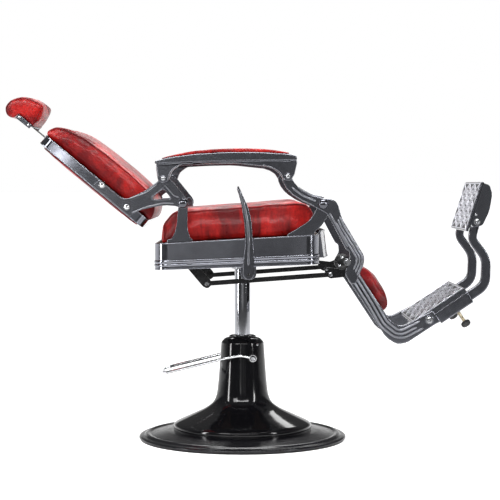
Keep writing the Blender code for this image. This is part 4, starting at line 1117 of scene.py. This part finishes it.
# ---- leg rest --------------------------------------------------------------------------------------
def make_leg_rest():
    shin = [(0.3075, 0.740), (0.318, 0.7135, 0.06), (0.3785, 0.6145, 0.034), (0.3770, 0.588, 0.03),
            (0.3600, 0.548)]
    for name, side in SIDES:
        out = side_vector(side)
        for i, (inset, start) in enumerate(((0.0065, 0.0), (0.0150, 0.006), (0.0235, 0.014))):
            line = inward(fillet(shin, closed=False, step=6), inset)
            rib(f"shin_rib_{name}_{i}", trimmed(line, start, 0.004 + 0.006 * i), 0.3033, side, "leg", 0.0033,
                0.95)
        rib(f"shin_inner_rib_{name}", [(0.2700, 0.7480), (0.3270, 0.6420)], 0.3033, side, "leg", 0.0026, 0.5)
        for part, radius, proud, points in (
                ("arm_rib", 0.0034, 0.95, [(0.1550, 0.8270), (0.1600, 0.8210, 0.05), (0.1860, 0.8020, 0.06),
                                           (0.2280, 0.7840)]),
                ("arm_outer_rib", 0.0020, 0.6, [(0.1720, 0.8290), (0.1800, 0.8220, 0.05),
                                                (0.2130, 0.8040, 0.06), (0.2540, 0.7955)]),
                ("arm_inner_rib", 0.0020, 0.6, [(0.1440, 0.8190), (0.1520, 0.8080, 0.05),
                                                (0.1840, 0.7875, 0.06), (0.2220, 0.7700)])):
            rib(f"{part}_{name}", points, 0.3033, side, "leg", radius, proud)
        if side < 0:
            hub("knee_hub", side)
            bolt("knee_bolt", Vector((0.3250, side * 0.3042, 0.5960)), out, "leg", 0.0082, "hex")
            for part, place, radius in (("small", (0.3080, 0.6105), 0.0042),
                                        ("lower", (0.3000, 0.5850), 0.0036)):
                bolt(f"knee_{part}_bolt", at(place, side * 0.3042), out, "leg", radius, "socket",
                     washer=False)

        centre = [(0.3450, 0.5640), (0.4100, 0.4600, 0.1), (0.4480, 0.3940, 0.06), (0.4960, 0.3560, 0.04),
                  (0.5760, 0.3970)]
        line = fillet(centre, closed=False, step=6)
        for i, inset in enumerate((-0.0125, 0.0, 0.0125)):
            ridge = trimmed(inward(line, inset), 0.004, 0.010 if inset else 0.026)
            rib(f"rail_rib_{name}_{i}", ridge, 0.2058, side, "leg", 0.0034, 0.9)
        boss = round_profile([(0.0, -0.002), (0.0150, -0.002), (0.0150, 0.0026, 0.0016), (0.0, 0.0026)],
                             closed=False)
        turned(f"rail_boss_{name}", boss, Vector((0.5915, side * 0.2060, 0.4085)), out, GUNMETAL, "leg",
               segments=40)
        bolt(f"rail_bolt_{name}", Vector((0.5915, side * 0.2086, 0.4085)), out, "leg", 0.0082, "hex")

        place = at(FOOT_PLATE_HINGE, side * 0.1816)
        bolt(f"foot_plate_bolt_{name}", place, out, "foot_plate", 0.0082, "hex")
        for i, (place, radius) in enumerate((((0.7415, 0.7410), 0.0042), ((0.7285, 0.7045), 0.0038))):
            bolt(f"foot_plate_screw_{name}_{i}", at(place, side * 0.1816), out, "foot_plate", radius,
                 "socket", washer=False)
        clamp_knob(name)


def inward(line, distance):
    """A line moved sideways, to the left of its direction when seen with x right and z up."""
    result = []
    for i, here in enumerate(line):
        before, after = line[max(i - 1, 0)], line[min(i + 1, len(line) - 1)]
        along = (after - before).normalized()
        result.append(here + Vector((-along.y, along.x)) * -distance)
    return result


def trimmed(line, start, end):
    """A flat line cut back from its two ends."""
    points = even([(p.x, p.y, 0.0) for p in line], 0.002)
    skip, drop = int(start / 0.002), int(end / 0.002)
    return [(p.x, p.y) for p in points[skip:len(points) - drop]]


def hub(name, side):
    """The dark round socket at the knee, behind the bolt."""
    bm = bmesh.new()
    profile = round_profile([(0.0, 0.2880), (0.0245, 0.2880, 0.001), (0.0245, 0.3020, 0.0025),
                             (0.0170, 0.3042, 0.002), (0.0150, 0.3030), (0.0, 0.3030)], closed=False)
    lathe(bm, profile, at(KNEE_HUB, 0.0), side_vector(side), 40)
    for k in range(8):
        spoke = Vector((math.cos(2 * math.pi * k / 8), math.sin(2 * math.pi * k / 8)))
        start, end = (Vector(KNEE_HUB) + spoke * reach for reach in (0.0165, 0.0235))
        bar(bm, start, end, 0.0030, 0.3010, 0.3046, lambda u, v, h: Vector((u, side * h, v)))
    solid(name, bm, BLACK_STEEL, "leg", angle=35)


def clamp_knob(name):
    """A threaded shank and a lobed knob under the tube socket."""
    joint = next(j for j in frame["joints"] if j["name"] == f"clamp_{name}_turn")
    place = Vector(joint["pos_m"])
    down = Vector(joint["axis"])
    thread = [(0.0, 0.0)]
    for k in range(22):
        z = 0.0006 + k * 0.0017
        thread += [(0.0049, z), (0.0057, z + 0.0006), (0.0057, z + 0.0009), (0.0049, z + 0.0015)]
    turned(f"clamp_thread_{name}", thread + [(0.0, 0.0386)], place, down, THREAD, f"clamp_{name}",
           (f"clamp_screw_{name}",), 30, 24)
    bm = bmesh.new()
    turn = down.to_track_quat("Z", "Y").to_matrix()
    rings = []
    for height, size, lobe in ((0.0370, 0.0062, 0.0), (0.0385, 0.0085, 0.10), (0.0410, 0.0118, 0.22),
                               (0.0450, 0.0128, 0.26), (0.0505, 0.0128, 0.26), (0.0545, 0.0118, 0.24),
                               (0.0565, 0.0095, 0.18), (0.0575, 0.0055, 0.05)):
        ring = []
        for k in range(60):
            a = 2 * math.pi * k / 60
            radius = size * (1 + lobe * math.cos(5 * a))
            ring.append(bm.verts.new(place + turn @ Vector((radius * math.cos(a), radius * math.sin(a), height))))
        rings.append(ring)
    strips(bm, rings)
    bm.faces.new(rings[0])
    bm.faces.new(rings[-1])
    solid(f"clamp_knob_{name}", bm, KNOB, f"clamp_{name}", angle=45)


# ---- treads ----------------------------------------------------------------------------------------
def lattice(bm, width, length, to_world, columns, rows):
    """Raised non-slip ribs: a frame, a net of diamonds and a small diamond in each."""
    high = 0.0026
    half = width / 2
    inset = 0.0035
    for sign in (-1, 1):
        u = sign * (half - inset)
        bar(bm, (u, 0.001), (u, length - 0.001), 0.0034, 0.0, high, to_world)
    for v in (inset, length - inset):
        bar(bm, (-half + 0.002, v), (half - 0.002, v), 0.0032, 0.0, high, to_world)
    inset += 0.0015
    du = (width - 2 * inset) / (2 * columns)
    dv = (length - 2 * inset) / rows
    for j in range(rows):
        low = inset + dv * j
        fold = [(-half + inset + du * i, low + dv * ((i + j) % 2)) for i in range(2 * columns + 1)]
        for start, end in zip(fold, fold[1:]):
            bar(bm, start, end, 0.0040, 0.0, high, to_world)
        if j == rows - 1:
            continue
        for i in range(1, 2 * columns):
            if (i + j) % 2 == 0:
                u, v = fold[i][0], low + dv
                corners = [(u - du * 0.5, v), (u, v + dv * 0.5), (u + du * 0.5, v), (u, v - dv * 0.5)]
                for start, end in zip(corners, corners[1:] + corners[:1]):
                    bar(bm, start, end, 0.0036, 0.0, high, to_world)


def backing(name, width, length, to_world, body):
    """The black grit sheet that the lattice stands on."""
    half = width / 2
    corners = [(p.x, p.y) for p in fillet([(-half, 0.0, 0.006), (half, 0.0, 0.006), (half, length, 0.006),
                                            (-half, length, 0.006)], step=15)]
    bm = bmesh.new()
    slab(bm, corners, -0.0004, 0.0006, to_world, 0.0003)
    solid(name, bm, RECESS, body, angle=30)


def make_treads():
    def on_tread(u, v, h):
        return tread_point(0.004 + v, u, h)

    backing("lower_tread_backing", 0.366, TREAD_LENGTH - 0.008, on_tread, "leg")
    bm = bmesh.new()
    lattice(bm, 0.366, TREAD_LENGTH - 0.008, on_tread, 3, 9)
    solid("lower_tread_lattice", bm, BRIGHT, "leg", angle=20)

    foot, head = Vector((0.709, 0.0, 0.688)), Vector((0.759, 0.0, 0.845))
    along = (head - foot).normalized()
    out = Vector((-along.z, 0.0, along.x))
    length = (head - foot).length

    def on_plate(u, v, h):
        return foot + along * (0.003 + v) + Vector((0, u, 0)) + out * h

    backing("foot_plate_backing", 0.352, length - 0.006, on_plate, "foot_plate")
    bm = bmesh.new()
    lattice(bm, 0.352, length - 0.006, on_plate, 3, 8)
    solid("foot_plate_lattice", bm, BRIGHT, "foot_plate", angle=20)


# ---- carried-over CAD nodes ------------------------------------------------------------------------
def carry_over():
    """Rounded edges and better materials for the CAD nodes that stay; * stands for left and right."""
    finishes = {
        GUNMETAL: ["rear_post*", "front_post*", "recline_lever", "back_bracket*", "headrest_bracket",
                   "armrest_casting*", "leg_casting*", "lower_rail*", "tube_socket*", "foot_tube*", "lower_tread",
                   "upper_foot_plate", "arm_rear_pin*", "arm_front_pin*"],
        BOX_GREY: ["seat_frame", "front_apron"],
        BAND: ["back_frame"],
        BLACK_STEEL: ["swivel_hub", "link_rocker", "link_bar*", "headrest_bar", "leg_cross_frame",
                      "calf_board"],
        CHROME: ["pump_pedal", "foot_plate_axle"],
        STEEL: ["oil_reservoir", "pump_cylinder", "swivel_bearing", "headrest_guide"],
        RUBBER: ["floor_pad", "piston_seal"],
        PLYWOOD_PAINTED_SHADE: ["seat_board", "back_board"],
    }
    widths = {"armrest_casting*": 0.0030, "leg_casting*": 0.0032, "lower_rail*": 0.0034,
              "back_bracket*": 0.0022, "foot_tube*": 0.0040, "tube_socket*": 0.0018, "recline_lever": 0.0026,
              "rear_post*": 0.0020, "front_post*": 0.0022, "upper_foot_plate": 0.0016, "swivel_hub": 0.0012,
              "link_bar*": 0.0010, "link_rocker": 0.0010, "leg_cross_frame": 0.0012}
    plain = {"pump_pedal", "oil_reservoir", "pump_cylinder", "piston_seal", "swivel_bearing", "floor_pad"}
    for material, names in finishes.items():
        for pattern in names:
            for name in [pattern.replace("*", f"_{side}") for side, _ in SIDES[:1 + ("*" in pattern)]]:
                node = NODES[name]
                node.data.materials.clear()
                node.data.materials.append(material)
                width = widths.get(pattern, 0.0007)
                if name in plain:
                    weld = node.modifiers.new("weld", "WELD")
                    weld.merge_threshold = 0.00002
                else:
                    bevelled(node, width, 3 if width > 0.0015 else 2)


make_camera()
make_studio()
carry_over()
make_base()
make_seat_box()
make_linkage()
make_back()
make_armrests()
make_leg_rest()
make_treads()
make_seat_cushion()
make_back_cushion()
make_headrest()
make_arm_pads()
make_calf_pad()
